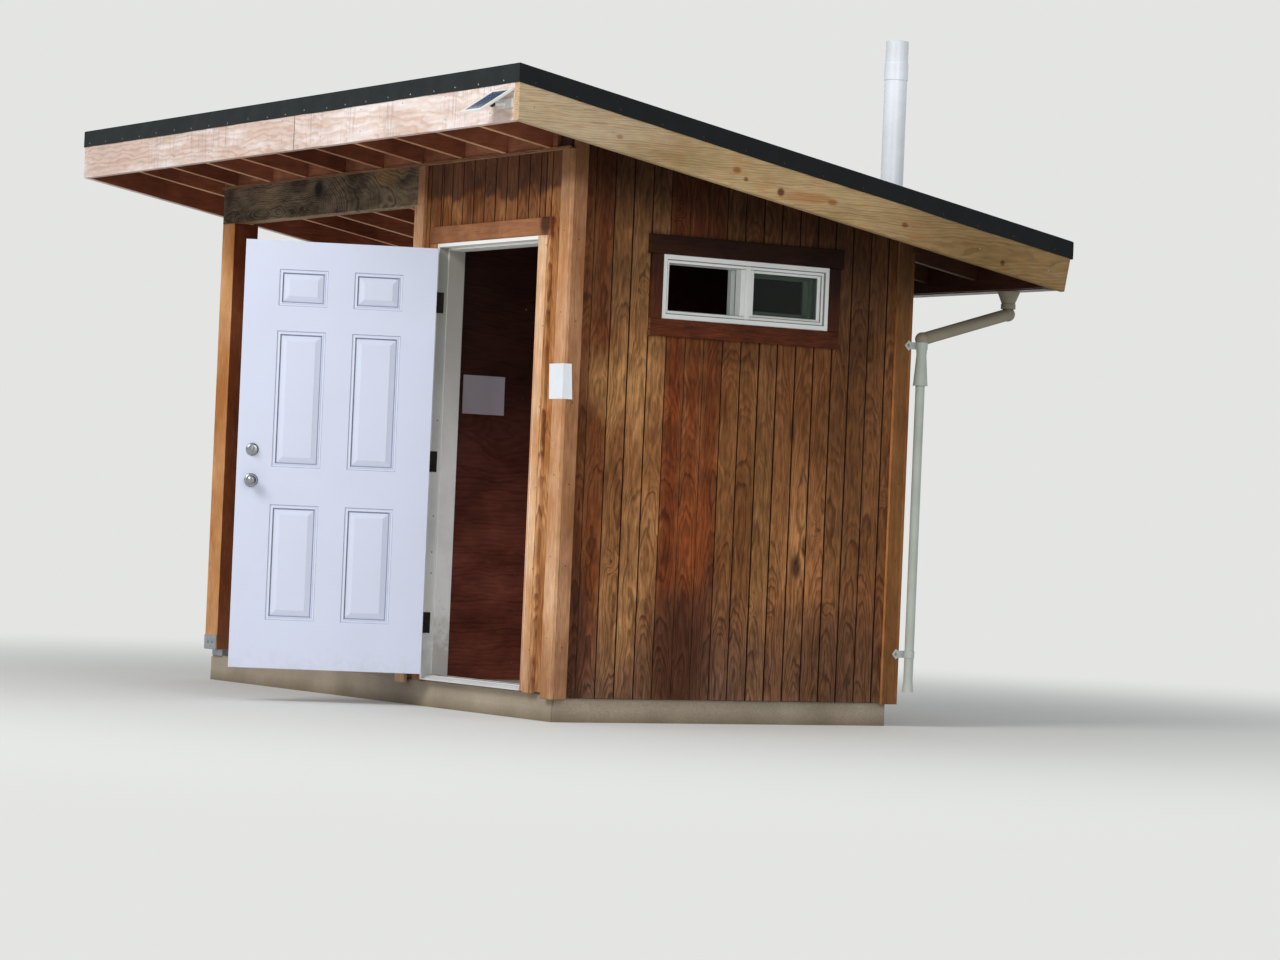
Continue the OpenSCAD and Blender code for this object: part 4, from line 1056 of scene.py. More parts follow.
def press_panel(bm, ring, x0, z0, x1, z1, side):
    """A pressed panel on one side of the leaf: square steps from the ring inwards, then its flat field."""
    rounds = [ring]
    for shrink, deep in PANEL_STEPS:
        y = LEAF_T * side + deep * MM * (1 - 2 * side)
        spots = ring_of(x0, z0, x1, z1, shrink * MM)[::1 - 2 * side]
        rounds.append([bm.verts.new((x, y, z)) for x, z in spots])
    for number, (lower, upper) in enumerate(zip(rounds, rounds[1:])):
        for i in range(4):
            j = (i + 1) % 4
            face = bm.faces.new((lower[i], lower[j], upper[j], upper[i]))
            # Groove steps take the darker paint: painted shade
            face.material_index = 1 if number in PANEL_GROOVES else 0
    bm.faces.new(rounds[-1])


def leaf():
    """The leaf, made flat and shut, then swung to where it stands. Its rims are eased by 1.5 mm."""
    bm = new_mesh()
    xs = [0, STILE, STILE + PANEL_W, LEAF_W - STILE - PANEL_W, LEAF_W - STILE, LEAF_W]
    zs = [0] + [v for low, tall in PANEL_ROWS for v in (low, low + tall)] + [LEAF_H]
    edge = 1.5 * MM

    def within(v, top):
        return min(max(v, edge), top - edge)

    def out_to_rim(v, top):
        return 0 if v < 2 * edge else top if v > top - 2 * edge else v

    for side in (0, 1):
        grid = [[bm.verts.new((within(x, LEAF_W), LEAF_T * side, within(z, LEAF_H))) for z in zs] for x in xs]
        for i in range(len(xs) - 1):
            for k in range(len(zs) - 1):
                ring = [grid[i][k], grid[i + 1][k], grid[i + 1][k + 1], grid[i][k + 1]][::1 - 2 * side]
                if i in (1, 3) and k in (1, 3, 5):
                    press_panel(bm, ring, xs[i], zs[k], xs[i + 1], zs[k + 1], side)
                else:
                    bm.faces.new(ring)
    border = [e for e in bm.edges if e.is_boundary]
    rims = [[e for e in border if (e.verts[0].co.y > LEAF_T / 2) == side] for side in (False, True)]
    outer = []
    for side, rim in enumerate(rims):
        made = bmesh.ops.extrude_edge_only(bm, edges=rim)["geom"]
        for v in made:
            if isinstance(v, bmesh.types.BMVert):
                v.co = (out_to_rim(v.co.x, LEAF_W), v.co.y + edge * (1 - 2 * side),
                        out_to_rim(v.co.z, LEAF_H))
        outer += [e for e in made if isinstance(e, bmesh.types.BMEdge) and e.is_boundary]
    bmesh.ops.bridge_loops(bm, edges=outer)
    bmesh.ops.recalc_face_normals(bm, faces=bm.faces)
    bm.normal_update()
    refinish(bm, -X, slot=2)
    bm.transform(SWING @ Matrix.Translation((HINGE_GAP, PIN_OUT, LEAF_LOW)))
    finish_piece(bm, "door_leaf_panels", [DOOR_PAINT, DOOR_GROOVE_SHADE, LEAF_EDGE], "door_leaf", "door")


def lathe(bm, profile, place, steps=40, slot=0):
    """A turned shape: radius and height pairs in mm round the Z axis of place, closed at both ends."""
    rings = []
    for radius, height in profile:
        spots = [(0, 0)]
        if radius > TINY:
            turns = [2 * math.pi * i / steps for i in range(steps)]
            spots = [(radius * MM * math.cos(turn), radius * MM * math.sin(turn)) for turn in turns]
        rings.append([bm.verts.new(place @ Vector((x, y, height * MM))) for x, y in spots])
    for lower, upper in zip(rings, rings[1:]):
        for i in range(steps):
            j = (i + 1) % steps
            if len(lower) == 1:
                ring = (lower[0], upper[j], upper[i])
            elif len(upper) == 1:
                ring = (lower[i], lower[j], upper[0])
            else:
                ring = (lower[i], lower[j], upper[j], upper[i])
            bm.faces.new(ring).material_index = slot


def on_leaf(face, z):
    """A place on the leaf's inner (1) or outer (0) face over the latch, with its Z axis pointing away."""
    turn = Matrix.Rotation(math.radians(-90 if face else 90), 4, "X")
    spot = (HINGE_GAP + LEAF_W - BACKSET, PIN_OUT + LEAF_T * face, LEAF_LOW + z)
    return SWING @ Matrix.Translation(spot) @ turn


def knob():
    bm = new_mesh()
    profile = [(0, 0), (32.5, 0), (33, 1.5), (32, 4.5), (28, 7.5), (17, 9), (13, 11), (11.5, 16), (11.5, 22),
               (14, 27), (21, 31), (25.5, 37), (27, 45), (26, 53), (22, 60), (15, 65), (8, 67), (7.5, 66),
               (0, 65.6)]
    for face in (0, 1):
        lathe(bm, profile, on_leaf(face, KNOB_Z))
    finish_piece(bm, "door_knob_turned", [NICKEL], "door_knob", "door", smooth_angle=40)


def bolt():
    """The deadbolt: a rose with a turn inside, a key cylinder outside."""
    bm = new_mesh()
    inside = on_leaf(1, BOLT_Z)
    lathe(bm, [(0, 0), (30.5, 0), (31, 2), (29, 6), (24, 9.5), (12, 11), (0, 11)], inside)
    lathe(bm, [(0, 0), (29.5, 0), (30, 3), (27, 13), (24, 18.5), (18, 20), (12, 19), (0, 19)],
          on_leaf(0, BOLT_Z))
    blade = [(a * MM, b * MM) for a, b in ((-17, 0), (-12, -6), (12, -6), (17, 0), (12, 6), (-12, 6))]
    start = len(bm.verts)
    board(bm, ((0, 0, 10 * MM), X, Y), blade, 22 * MM, 0.1, chamfer=3 * MM)
    bm.verts.ensure_lookup_table()
    turn = Matrix.Rotation(math.radians(62), 4, "Z")
    bmesh.ops.transform(bm, matrix=inside @ turn, verts=bm.verts[start:])
    finish_piece(bm, "deadbolt_turn", [NICKEL], "deadbolt", "door", smooth_angle=40)


# Window
def mitred_ring(bm, place, area, section):
    """A closed section swept round a rectangle with mitred corners, as pairs of how far in and how far out.
    Gives back its faces, four for each step of the section."""
    origin, ex, ey = (Vector(v) for v in place)
    en = ex.cross(ey).normalized()
    loops = []
    for a, d in section:
        loops.append([bm.verts.new(origin + ex * p + ey * q + en * d) for p, q in ring_of(*area, a)])
    made = []
    for i, lower in enumerate(loops):
        upper = loops[(i + 1) % len(loops)]
        for k in range(4):
            m = (k + 1) % 4
            made.append(bm.faces.new((lower[k], lower[m], upper[m], upper[k])))
    return made


def window():
    x0, y0, z0, x1, y1, z1 = corners("window_frame")
    face = 41 * MM
    depth = x1 - x0
    bm = new_mesh()
    section = [(0, 0), (0, depth - 2 * MM), (2 * MM, depth), (22 * MM, depth), (25 * MM, depth - 2 * MM),
               (26.5 * MM, depth - 9 * MM), (38 * MM, depth - 10 * MM), (face, depth - 14 * MM), (face, 0)]
    ring = mitred_ring(bm, right_plane(x0), (y0, z0, y1, z1), section)
    # The frame's groove steps take the darker vinyl: painted shade
    for step in (3, 4, 6):
        for k in range(4):
            ring[step * 4 + k].material_index = 1
    # The upright between the halves: a broad bar with a raised middle
    bar = (y0 + y1) / 2 - 28 * MM
    bar_wide = 72 * MM
    inner = depth - 55 * MM
    plane = right_plane(x0 + inner)
    broad = rect(bar, z0 + face - 1 * MM, bar + bar_wide, z1 - face + 1 * MM)
    raised = rect(bar + 22 * MM, z0 + 24 * MM, bar + 48 * MM, z1 - 24 * MM)
    board(bm, plane, broad, depth - inner - 9 * MM, 0.5, chamfer=3 * MM)
    board(bm, plane, raised, depth - inner - 1 * MM, 0.5, chamfer=3 * MM)
    bead = 12 * MM
    area = (bar + bar_wide - 2 * MM, z0 + face - 2 * MM, y1 - face + 2 * MM, z1 - face + 2 * MM)
    mitred_ring(bm, right_plane(x0), area, [(0, depth - 50 * MM), (0, depth - 18 * MM),
                                            (bead, depth - 26 * MM), (bead, depth - 50 * MM)])
    bmesh.ops.recalc_face_normals(bm, faces=bm.faces)
    finish_piece(bm, "window_frame_vinyl", [VINYL, GROOVE_SHADE_VINYL], "window_frame")

    x0, y0, z0, x1, y1, z1 = corners("window_sash")
    bm = new_mesh()
    thick = x1 - x0
    wide, rail = 53 * MM, 30 * MM
    section = [(0, 0), (0, thick - 2 * MM), (2 * MM, thick), (22 * MM, thick), (24 * MM, thick - 4 * MM),
               (rail, thick - 6 * MM), (rail, 6 * MM), (24 * MM, 2 * MM), (20 * MM, 0)]
    mitred_ring(bm, right_plane(x0), (y0, z0, y1, z1), section)
    for a, b in ((y0 + rail, y0 + wide), (y1 - wide, y1 - rail)):
        board(bm, right_plane(x0 + 4 * MM), rect(a - 1 * MM, z0 + rail, b, z1 - rail), thick - 9 * MM, 0.5)
    bmesh.ops.recalc_face_normals(bm, faces=bm.faces)
    finish_piece(bm, "window_sash_vinyl", [SASH_VINYL], "window_sash")


# Posts, beams and roof framing
def beams():
    for end, seed, tone in (("front", 0.31, 0.85), ("back", 0.77, 0.45)):
        x0, y0, z0, x1, y1, z1 = corners(end + "_post")
        bm = new_mesh()
        board(bm, front_plane(y1), rect(x0, z0, x1, z1), y1 - y0, seed, tone, chamfer=3 * MM, back=3 * MM)
        # The posts' right faces take a dark tone: painted shade on the side away from the light
        refinish(bm, X, tone=0.1)
        finish_piece(bm, end + "_post_timber", [POST_WOOD], end + "_post")
    for end, tone, most in (("front", 0.0, 186 * MM), ("back", 0.15, 1.0)):
        name = end + "_header_beam"
        x0, y0, z0, x1, y1, z1 = corners(name)
        bm = new_mesh()
        # The beam's underside takes a pale tone: painted light from below
        sloped(bm, x0, x1 - x0, y0, y1, z0, lambda y: min(under(y), z0 + most) - HAIR, 0.45, tone, grain="x",
               back=EASED, under_tone=0.8)
        regrain(bm)
        finish_piece(bm, name + "_timber", [HEADER_WOOD], name)


def regrain(bm):
    """Lays the grain map again for pieces whose grain runs along X, through their outline's thickness."""
    uv, ends = bm.loops.layers.uv["grain"], bm.faces.layers.float["end"]
    middle = sum((v.co for v in bm.verts), Vector()) / len(bm.verts)
    for face in bm.faces:
        flat = abs(face.normal.x) > 0.75
        face[ends] = 1.0 if flat else 0.0
        for loop in face.loops:
            q = loop.vert.co - middle
            loop[uv].uv = (q.z, -q.y) if flat else (loop.vert.co.x, q.z - q.y)


RAFTER = 38 * MM
RAFTER_STEP = 404 * MM
RAFTER_COUNT = round((RX1 - RX0 - RAFTER) / RAFTER_STEP) + 1


def rafters():
    """One rafter in mesh code, repeated towards the left by the node tree, and the blocks between them."""
    bm = new_mesh()
    # The rafter's underside takes a pale tone: painted light from below, and less stain
    sloped(bm, RX1 - RAFTER, RAFTER, RY0, RY1, under, below_deck, 0.5, 0.25, grain="x", back=EASED,
           under_tone=0.9)
    mesh = bpy.data.meshes.new("one_rafter")
    bm.to_mesh(mesh)
    bm.free()
    sizes = {"Rafter count": RAFTER_COUNT, "Rafter spacing": RAFTER_STEP, "Seed": 4, "Finish": ROOF_WOOD}
    grown("rafter_timbers", mesh, RAFTER_TREE, sizes, "rafters", replaced=True)

    bm = new_mesh()
    _, y0, _, _, y1, _ = corners("rafter_blocking")
    wall_inner = corners("right_wall")[0]
    gap = 0.5 * MM
    for i in range(1, RAFTER_COUNT):
        right = min(RX1 - (i - 1) * RAFTER_STEP - RAFTER, wall_inner) - gap
        left = max(RX1 - i * RAFTER_STEP, LEFT) + gap
        for ya in (y0, y1 - RAFTER):
            # The blocks' undersides take a pale tone: painted light from below
            sloped(bm, left, right - left, ya, ya + RAFTER, under, below_deck, dice("block", i, ya), 0.3,
                   grain="x", back=EASED, under_tone=0.8)
    regrain(bm)
    finish_piece(bm, "rafter_blocks", [ROOF_WOOD], "rafter_blocking")


def fascias():
    """Front boards in two lengths, one at the back, and a rake board with its heel cut off at each side."""
    ease = 2.5 * MM
    x0, y0, z0, x1, y1, _ = corners("front_fascia")
    front_low = z0
    joint = RIGHT - 1689 * MM
    bm = new_mesh()
    for a, b, seed, tone in ((x0, joint - 1 * MM, 0.17, 0.95), (joint + 1 * MM, x1, 0.67, 0.85)):
        sloped(bm, a, b - a, y0, y1, z0, below_deck, seed, tone, chamfer=ease, back=ease)
    regrain(bm)
    refinish(bm, Y, slot=1, tone=0.2)
    finish_piece(bm, "front_fascia_boards", [FASCIA_WOOD, ROOF_WOOD], "front_fascia")

    x0, y0, z0, x1, y1, _ = corners("back_fascia")
    bm = new_mesh()
    sloped(bm, x0, x1 - x0, y0, y1, z0, below_deck, 0.43, 0.3, chamfer=ease, back=ease)
    regrain(bm)
    refinish(bm, -Y, slot=1, tone=0.2)
    refinish(bm, -Z, slot=1, tone=0.3)
    finish_piece(bm, "back_fascia_board", [FASCIA_WOOD, ROOF_WOOD], "back_fascia")

    for name, inward, wood in (("left_rake_board", X, FASCIA_WOOD), ("right_rake_board", -X, RAKE_WOOD)):
        x0, y0, z0, x1, y1, _ = corners(name)
        drop = over(y0) - front_low
        heel = y1 - 36 * MM
        outline = [(y0, front_low), (heel, over(heel) - drop), (y1, below_deck(y1)), (y0, below_deck(y0))]
        bm = new_mesh()
        # The rake's underside takes a pale tone: painted light from below
        board(bm, right_plane(x0), outline, x1 - x0, dice(name), 0.6, grain="x", chamfer=3 * MM, back=3 * MM,
              end_tone=1.0, under_tone=0.9)
        refinish(bm, inward, slot=1, tone=0.2)
        finish_piece(bm, name + "_timber", [wood, ROOF_WOOD], name)


def deck():
    """Plywood sheets on the rafters, with their joints showing from below and a square hole for the vent."""
    bm = new_mesh()
    hole = 61 * MM
    gap = 0.7 * MM
    left, right, front, rear = VENT_X - hole, VENT_X + hole, VENT_Y - hole, VENT_Y + hole
    cut = 1.02
    sheets_x = [DX0, DX0 + cut, DX0 + cut + 2 * SHEET, DX1]
    sheets_y = [DY0, DY0 + SHEET, DY0 + 2 * SHEET, DY1]
    for i, (a, b) in enumerate(zip(sheets_x, sheets_x[1:])):
        for k, (c, d) in enumerate(zip(sheets_y, sheets_y[1:])):
            pieces = [(a, b, c, d)]
            if a < VENT_X < b and c < VENT_Y < d:
                pieces = [(a, left, c, d), (right, b, c, d), (left, right, c, front), (left, right, rear, d)]
            for xa, xb, ya, yb in pieces:
                xa, xb = xa + gap, xb - gap
                sloped(bm, xa, xb - xa, ya + gap, yb - gap, over, lambda y: deck_top(y) - 0.2 * MM,
                       dice("ply", i, k), 0.12 + 0.15 * dice("tone", i, k), grain="x", chamfer=0.0)
    regrain(bm)
    finish_piece(bm, "roof_deck_sheets", [ROOF_WOOD], "roof_deck")


def covering():
    """Strips of roofing 0.92 m wide laid across the slope, each lapping the one below."""
    bm = new_mesh()
    x0, y0, _, x1, y1, _ = corners("roof_covering")
    lap = 3.5 * MM
    strip, parts, cells = 0.92, 10, 60
    margin = 0.05
    columns = [x0 + (x1 - x0) * i / cells for i in range(cells + 1)]
    rows = []
    y = y0
    while y < y1 - TINY:
        end = min(y + strip, y1)
        rows += [(y + (end - y) * k / parts, k / parts) for k in range(parts + 1)]
        y = end
    tops = []
    for y, part in rows:
        line = []
        for x in columns:
            ripple = noise.noise(Vector((x * 1.3, y * 2.1, 0.0))) * 1.2 * MM
            calm = min(1.0, (x - x0) / margin, (x1 - x) / margin)
            line.append(bm.verts.new((x, y, cover_top(y) - lap * (1 - part) - 1.3 * MM + ripple * calm)))
        tops.append(line)
    front, rear = ([bm.verts.new((x, y, deck_top(y) + 0.2 * MM)) for x in columns] for y in (y0, rows[-1][0]))
    for lower, upper in zip(tops, tops[1:]):
        for i in range(cells):
            bm.faces.new((lower[i], lower[i + 1], upper[i + 1], upper[i]))
    for i in range(cells):
        bm.faces.new((front[i], front[i + 1], tops[0][i + 1], tops[0][i]))
        bm.faces.new((rear[i + 1], rear[i], tops[-1][i], tops[-1][i + 1]))
        bm.faces.new((front[i + 1], front[i], rear[i], rear[i + 1]))
    for i in (0, cells):
        ring = [front[i]] + [line[i] for line in tops] + [rear[i]]
        face = bm.faces.new(ring[::-1] if i else ring)
        bmesh.ops.triangulate(bm, faces=[face])
    bmesh.ops.recalc_face_normals(bm, faces=bm.faces)
    finish_piece(bm, "roofing_strips", [ROOFING], "roof_covering")


def edge_trim():
    """The black membrane turned down over the roof's edge, with a hand-cut wavy lower edge."""
    x0, y0, _, x1, y1, _ = corners("roof_edge_trim")
    bm = new_mesh()
    tall, skin, lip, step = 89 * MM, 4 * MM, 3 * MM, 60 * MM

    def rough(p, scale, layer, height):
        return noise.noise(Vector((p.x * scale, p.y * scale, layer))) * height

    stations = []
    outer = rect(x0, y0, x1, y1)
    for start, end in zip(outer, outer[1:] + outer[:1]):
        a, b = Vector(start), Vector(end)
        count = max(2, int((b - a).length / step))
        outward = Vector(((b - a).y, -(b - a).x)).normalized()
        stations += [(a + (b - a) * i / count, outward, i == 0) for i in range(count)]
    rings = []
    for n, (p, outward, corner) in enumerate(stations):
        inward = -(outward + stations[n - 1][1]) if corner else -outward
        inward = Vector((inward.x, inward.y, 0))
        top = cover_top(p.y) + lip - HAIR
        low = cover_top(p.y) - tall + 7 * MM + rough(p, 1.9, 3.0, 5 * MM) + rough(p, 9, 7.0, 1.5 * MM)
        bulge = 0.0 if corner else (rough(p, 3, 11.0, 1.0) + 1) * 0.5 * MM
        section = ((bulge + 0.1 * MM, low), (bulge * 0.5 + 0.1 * MM, top - 5 * MM), (3 * MM, top),
                   (skin, top), (skin * 0.9, low))
        rings.append([bm.verts.new(Vector((p.x, p.y, z)) + inward * deep) for deep, z in section])
    for a, b in zip(rings, rings[1:] + rings[:1]):
        for i in range(5):
            j = (i + 1) % 5
            bm.faces.new((a[i], b[i], b[j], a[j]))
    bmesh.ops.recalc_face_normals(bm, faces=bm.faces)
    bm.normal_update()
    # Front faces take the lighter membrane: dust and a painted reflection of the clearing
    refinish(bm, -Y, slot=1)
    finish_piece(bm, "roof_edge_membrane", [MEMBRANE, DUST_AND_SHEEN_MEMBRANE], "roof_edge_trim")


def curl_sheet(bm, origin, ex, ey, en, area, lift):
    """A thin sheet of paper whose lower corners stand off a little."""
    a0, b0, a1, b1 = area
    origin = Vector(origin)
    steps = 6
    layers = []
    for thick in (0.0, 0.4 * MM):
        grid = {}
        for i in range(steps + 1):
            for k in range(steps + 1):
                s, t = i / steps, k / steps
                away = lift * ((2 * s - 1) ** 2) * (1 - t) ** 2 + thick
                spot = origin + ex * (a0 + (a1 - a0) * s) + ey * (b0 + (b1 - b0) * t) + en * away
                grid[i, k] = bm.verts.new(spot)
        layers.append(grid)
    for grid in layers:
        for i in range(steps):
            for k in range(steps):
                bm.faces.new((grid[i, k], grid[i + 1, k], grid[i + 1, k + 1], grid[i, k + 1]))
    back, front = layers
    rim = [(i, 0) for i in range(steps)] + [(steps, k) for k in range(steps)]
    rim += [(i, steps) for i in range(steps, 0, -1)] + [(0, k) for k in range(steps, 0, -1)]
    for a, b in zip(rim, rim[1:] + rim[:1]):
        bm.faces.new((back[a], back[b], front[b], front[a]))
    bmesh.ops.recalc_face_normals(bm, faces=bm.faces)


def papers():
    """Blank notices: one pinned inside on the partition, one folded round the corner trim."""
    bm = new_mesh()
    wall = corners("partition_wall")[3]
    area = (FRONT + 233 * MM, 1416 * MM, FRONT + 466 * MM, 1604 * MM)
    curl_sheet(bm, (wall + 0.4 * MM, 0, 0), Y, Z, X, area, 2.2 * MM)
    finish_piece(bm, "inside_notice", [SLEEVE], "partition_wall", replaced=False)

    bm = new_mesh()
    z0, z1 = 1465 * MM, 1626 * MM
    thick = 0.5 * MM
    out = 0.9 * MM
    rows = []
    for t in range(5):
        part = t / 4
        left = RIGHT - (110 + 14 * part) * MM
        lift = (1 - part) * 3 * MM
        path = [(left, FRONT - out - lift), (RIGHT - 60 * MM, FRONT - out * 1.6),
                (RIGHT - 4 * MM, FRONT - out), (RIGHT + out * 0.6, FRONT - out * 0.6),
                (RIGHT + out, FRONT + 4 * MM), (RIGHT + 3 * MM, FRONT + 24 * MM),
                (RIGHT + 5 * MM + lift, FRONT + (48 - 8 * part) * MM)]
        inner = [(x - (thick if x > RIGHT else 0), y + (thick if x <= RIGHT else 0))
                 for x, y in reversed(path)]
        rows.append([bm.verts.new((x, y, z0 + (z1 - z0) * part)) for x, y in path + inner])
    count = len(rows[0])
    for lower, upper in zip(rows, rows[1:]):
        for i in range(count):
            j = (i + 1) % count
            bm.faces.new((lower[i], lower[j], upper[j], upper[i]))
    for row in (rows[0], rows[-1]):
        for i in range(count // 2 - 1):
            bm.faces.new((row[i], row[i + 1], row[count - 2 - i], row[count - 1 - i]))
    bmesh.ops.recalc_face_normals(bm, faces=bm.faces)
    finish_piece(bm, "corner_notice", [PAPER], "front_right_corner_trim", replaced=False, smooth_angle=50)


def facing(place, direction):
    """A place whose Z axis points along a direction."""
    return Matrix.Translation(place) @ direction.to_track_quat("Z", "Y").to_matrix().to_4x4()


def solar_light():
    """The solar lamp's panel: a pale frame round dark cells, on a white bracket with a black ball joint."""
    x0, y0, z0, x1, y1, z1 = corners("solar_panel")
    tilt = math.radians(34)
    thick = 12 * MM
    panel_z = z0 + thick * math.cos(tilt)
    wide, tall = x1 - x0, (z1 - panel_z) / math.sin(tilt)
    rim = 14 * MM
    bm = new_mesh()
    section = [(0, -thick), (0, -2 * MM), (1.5 * MM, -0.3 * MM), (3.5 * MM, 0), (rim - 2 * MM, 0),
               (rim, -1.5 * MM), (rim, -thick)]
    mitred_ring(bm, ((0, 0, 0), X, Y), (0, 0, wide, tall), section)
    inner = ring_of(0, 0, wide, tall, rim)
    board(bm, ((0, 0, -7 * MM), X, Y), inner, 5 * MM, 0.5, chamfer=0.0, slot=1)
    board(bm, ((0, 0, -thick + 0.5 * MM), X, Y), inner, 4 * MM, 0.5, chamfer=0.0)
    bmesh.ops.recalc_face_normals(bm, faces=bm.faces)
    bm.transform(Matrix.Translation((x0, y0, panel_z)) @ Matrix.Rotation(tilt, 4, "X"))
    finish_piece(bm, "solar_panel_framed", [PALE_PLASTIC, CELLS], "solar_panel")

    x0, y0, z0, x1, y1, z1 = corners("solar_bracket")
    bm = new_mesh()
    board(bm, front_plane(y1), rect(x0, z0 + 1 * MM, x1, z1), 6 * MM, 0.2, chamfer=1.5 * MM)
    ball = Vector((RIGHT + 335 * MM, y1 - 66 * MM, panel_z + 36 * MM))
    foot = Vector((ball.x, y1 - 5 * MM, ball.z + 4 * MM))
    neck = (ball - foot).length / MM - 6
    lathe(bm, [(0, 0), (12, 0), (11, 4), (7.5, 9), (7, 14), (7, neck), (0, neck)],
          facing(foot, ball - foot), 24)
    arc = [(14 * math.sin(math.pi * i / 12), -14 * math.cos(math.pi * i / 12)) for i in range(13)]
    lathe(bm, arc, Matrix.Translation(ball), 24, slot=1)
    out = Vector((0, -math.sin(tilt), math.cos(tilt)))
    lathe(bm, [(0, 0), (7, 0), (7, 12), (10, 15.8), (0, 15.8)], facing(ball, out), 24)
    bmesh.ops.recalc_face_normals(bm, faces=bm.faces)
    finish_piece(bm, "solar_bracket_ball_joint", [VINYL, BLACK_PLASTIC], "solar_bracket", smooth_angle=40)


def fasteners():
    """Nail, screw and bolt heads, all set by one node tree."""
    x0, y0, z0, x1, y1, z1 = corners("front_fascia")
    nails = []
    for i in range(RAFTER_COUNT):
        for part in (0.22, 0.72):
            nails.append(((RX1 - RAFTER / 2 - i * RAFTER_STEP, y0, z0 + part * (z1 - z0)), -Y))
    left, right = corners("left_rake_board")[0], corners("right_rake_board")[3]
    rake_front = corners("right_rake_board")[1]
    for i in range(8):
        y = rake_front + 0.08 + i * 0.41
        for down in (40 * MM, 130 * MM):
            nails += [((right, y, over(y) - down), X), ((left, y, over(y) - down), -X)]
    heads("fascia_nails", nails, 8, 0.8, ZINC, "front_fascia")

    x0, y0, z0, x1, y1, z1 = corners("roof_edge_trim")

    def tack_height(y, *key):
        return cover_top(y) - 66 * MM + 8 * MM * (dice(*key) - 0.5)

    band, sides = [], []
    for i in range(22):
        x = x0 + 0.06 + i * 0.209 + 0.03 * dice("aside", i)
        for y, out in ((y0, -1), (y1, 1)):
            band.append(((x, y - 0.8 * MM * out, tack_height(y, "tack", i, out)), Y * out))
    for i in range(14):
        y = y0 + 0.07 + i * 0.222
        for x, out in ((x1, 1), (x0, -1)):
            spot = (x - 1.2 * MM * out, y + 0.03 * dice("aside", i), tack_height(y, "side tack", i, out))
            sides.append((spot, X * out))
    heads("edge_band_nails", band, 9, 1.2, ZINC, "roof_edge_trim")
    heads("side_band_nails", sides, 9, 1.2, RUST, "roof_edge_trim")

    x0, y0, z0, x1, y1, z1 = corners("door_casing")
    small = []
    for i in range(6):
        z = 0.32 + 0.37 * i
        small += [((x1 - 30 * MM, y0, z), -Y), ((x0 + 30 * MM, y0, z), -Y),
                  ((RIGHT - 45 * MM, FRONT, z + 0.06), -Y), ((RIGHT, FRONT + 54 * MM, z + 0.02), X),
                  ((RIGHT, BACK - 45 * MM, z + 0.1), X), ((RIGHT - 40 * MM, BACK, z), Y)]
    heads("trim_nails", small, 7, 0.5, RUST, "door_casing")

    strap_y = corners("back_wall")[4] + 4 * MM
    screws = [((RIGHT + 3 * MM, BACK - 22 * MM, z * MM), X) for z in (346, 1825)]
    screws += [((VENT_X + side * 78 * MM, strap_y, z * MM), Y) for z in (845, 1745) for side in (-1, 1)]
    heads("strap_screws", screws, 16, 3, ZINC, "pipe_straps")

    x0, y0, z0, x1, y1, z1 = corners("post_bases")
    bolts = [((x, y, z1 - 36 * MM), out) for y, out in ((y0, -Y), (y1, Y))
             for x in (x0 + 45 * MM, x1 - 45 * MM)]
    heads("post_base_bolts", bolts, 15, 5, ZINC, "post_bases")

    jamb = corners("threshold")[0]
    screws = [((jamb, FRONT + 28 * MM, z * MM), X) for z in (639, 740, 912, 1142, 1371)]
    heads("jamb_screws", screws, 7, 0.5, BRONZE, "door_frame")

    lining = corners("partition_wall")[3]
    screws = [((lining, -400 * MM + i * 406 * MM, 213 * MM + k * 432 * MM), X) for i in range(4)
              for k in range(5)]
    heads("lining_screws", screws, 12, 0.5, ZINC, "partition_wall")

    leaves = []
    for z in (402 * MM, 1168 * MM, 1934 * MM):
        for k, deep in ((-36, 12), (-12, 24), (12, 24), (36, 12)):
            spot = Vector((HINGE_GAP / 2 - 0.9 * MM, PIN_OUT + deep * MM, z + k * MM))
            leaves.append((SWING @ spot, SWING.to_3x3() @ -X))
    heads("leaf_hinge_screws", leaves, 7, 0.5, ZINC, "leaf_hinges", "door")


def needles():
    """Needles from the trees around, lying on the roofing, 30 mm or more inside its edge."""
    base = bpy.data.objects["roofing_strips"].data.copy()
    bm = bmesh.new()
    bm.from_mesh(base)
    x0, y0, _, x1, y1, _ = corners("roof_edge_trim")
    clear = 30 * MM
    for spot, out in (((x0 + clear, 0, 0), -X), ((x1 - clear, 0, 0), X), ((0, y0 + clear, 0), -Y),
                      ((0, y1 - clear, 0), Y)):
        parts = bm.verts[:] + bm.edges[:] + bm.faces[:]
        bmesh.ops.bisect_plane(bm, geom=parts, plane_co=spot, plane_no=out, clear_outer=True)
    bm.to_mesh(base)
    bm.free()
    sizes = {"Needles per square metre": 30.0, "Needle length": 24 * MM, "Needle width": 1.6 * MM, "Seed": 11,
             "Finish": DRY_NEEDLE}
    grown("roof_needles", base, NEEDLE_TREE, sizes, "roof_covering")


def finish_cad():
    """CAD nodes that keep their shape get the finish of the real thing."""
    finishes = {"frame_hinges": BRONZE, "leaf_hinges": BRONZE, "window_glass": GLASS,
                "post_bases": GALVANISED, "vent_pipe": PVC, "vent_flashing": RUBBER, "gutter": GUTTER_PAINT,
                "outlet_pipe": DUSTY_PVC, "downspout": RAIN_PVC, "pipe_straps": SASH_VINYL}
    for name, mat in finishes.items():
        mesh = frame["nodes"][name].data
        mesh.materials.clear()
        mesh.materials.append(mat)


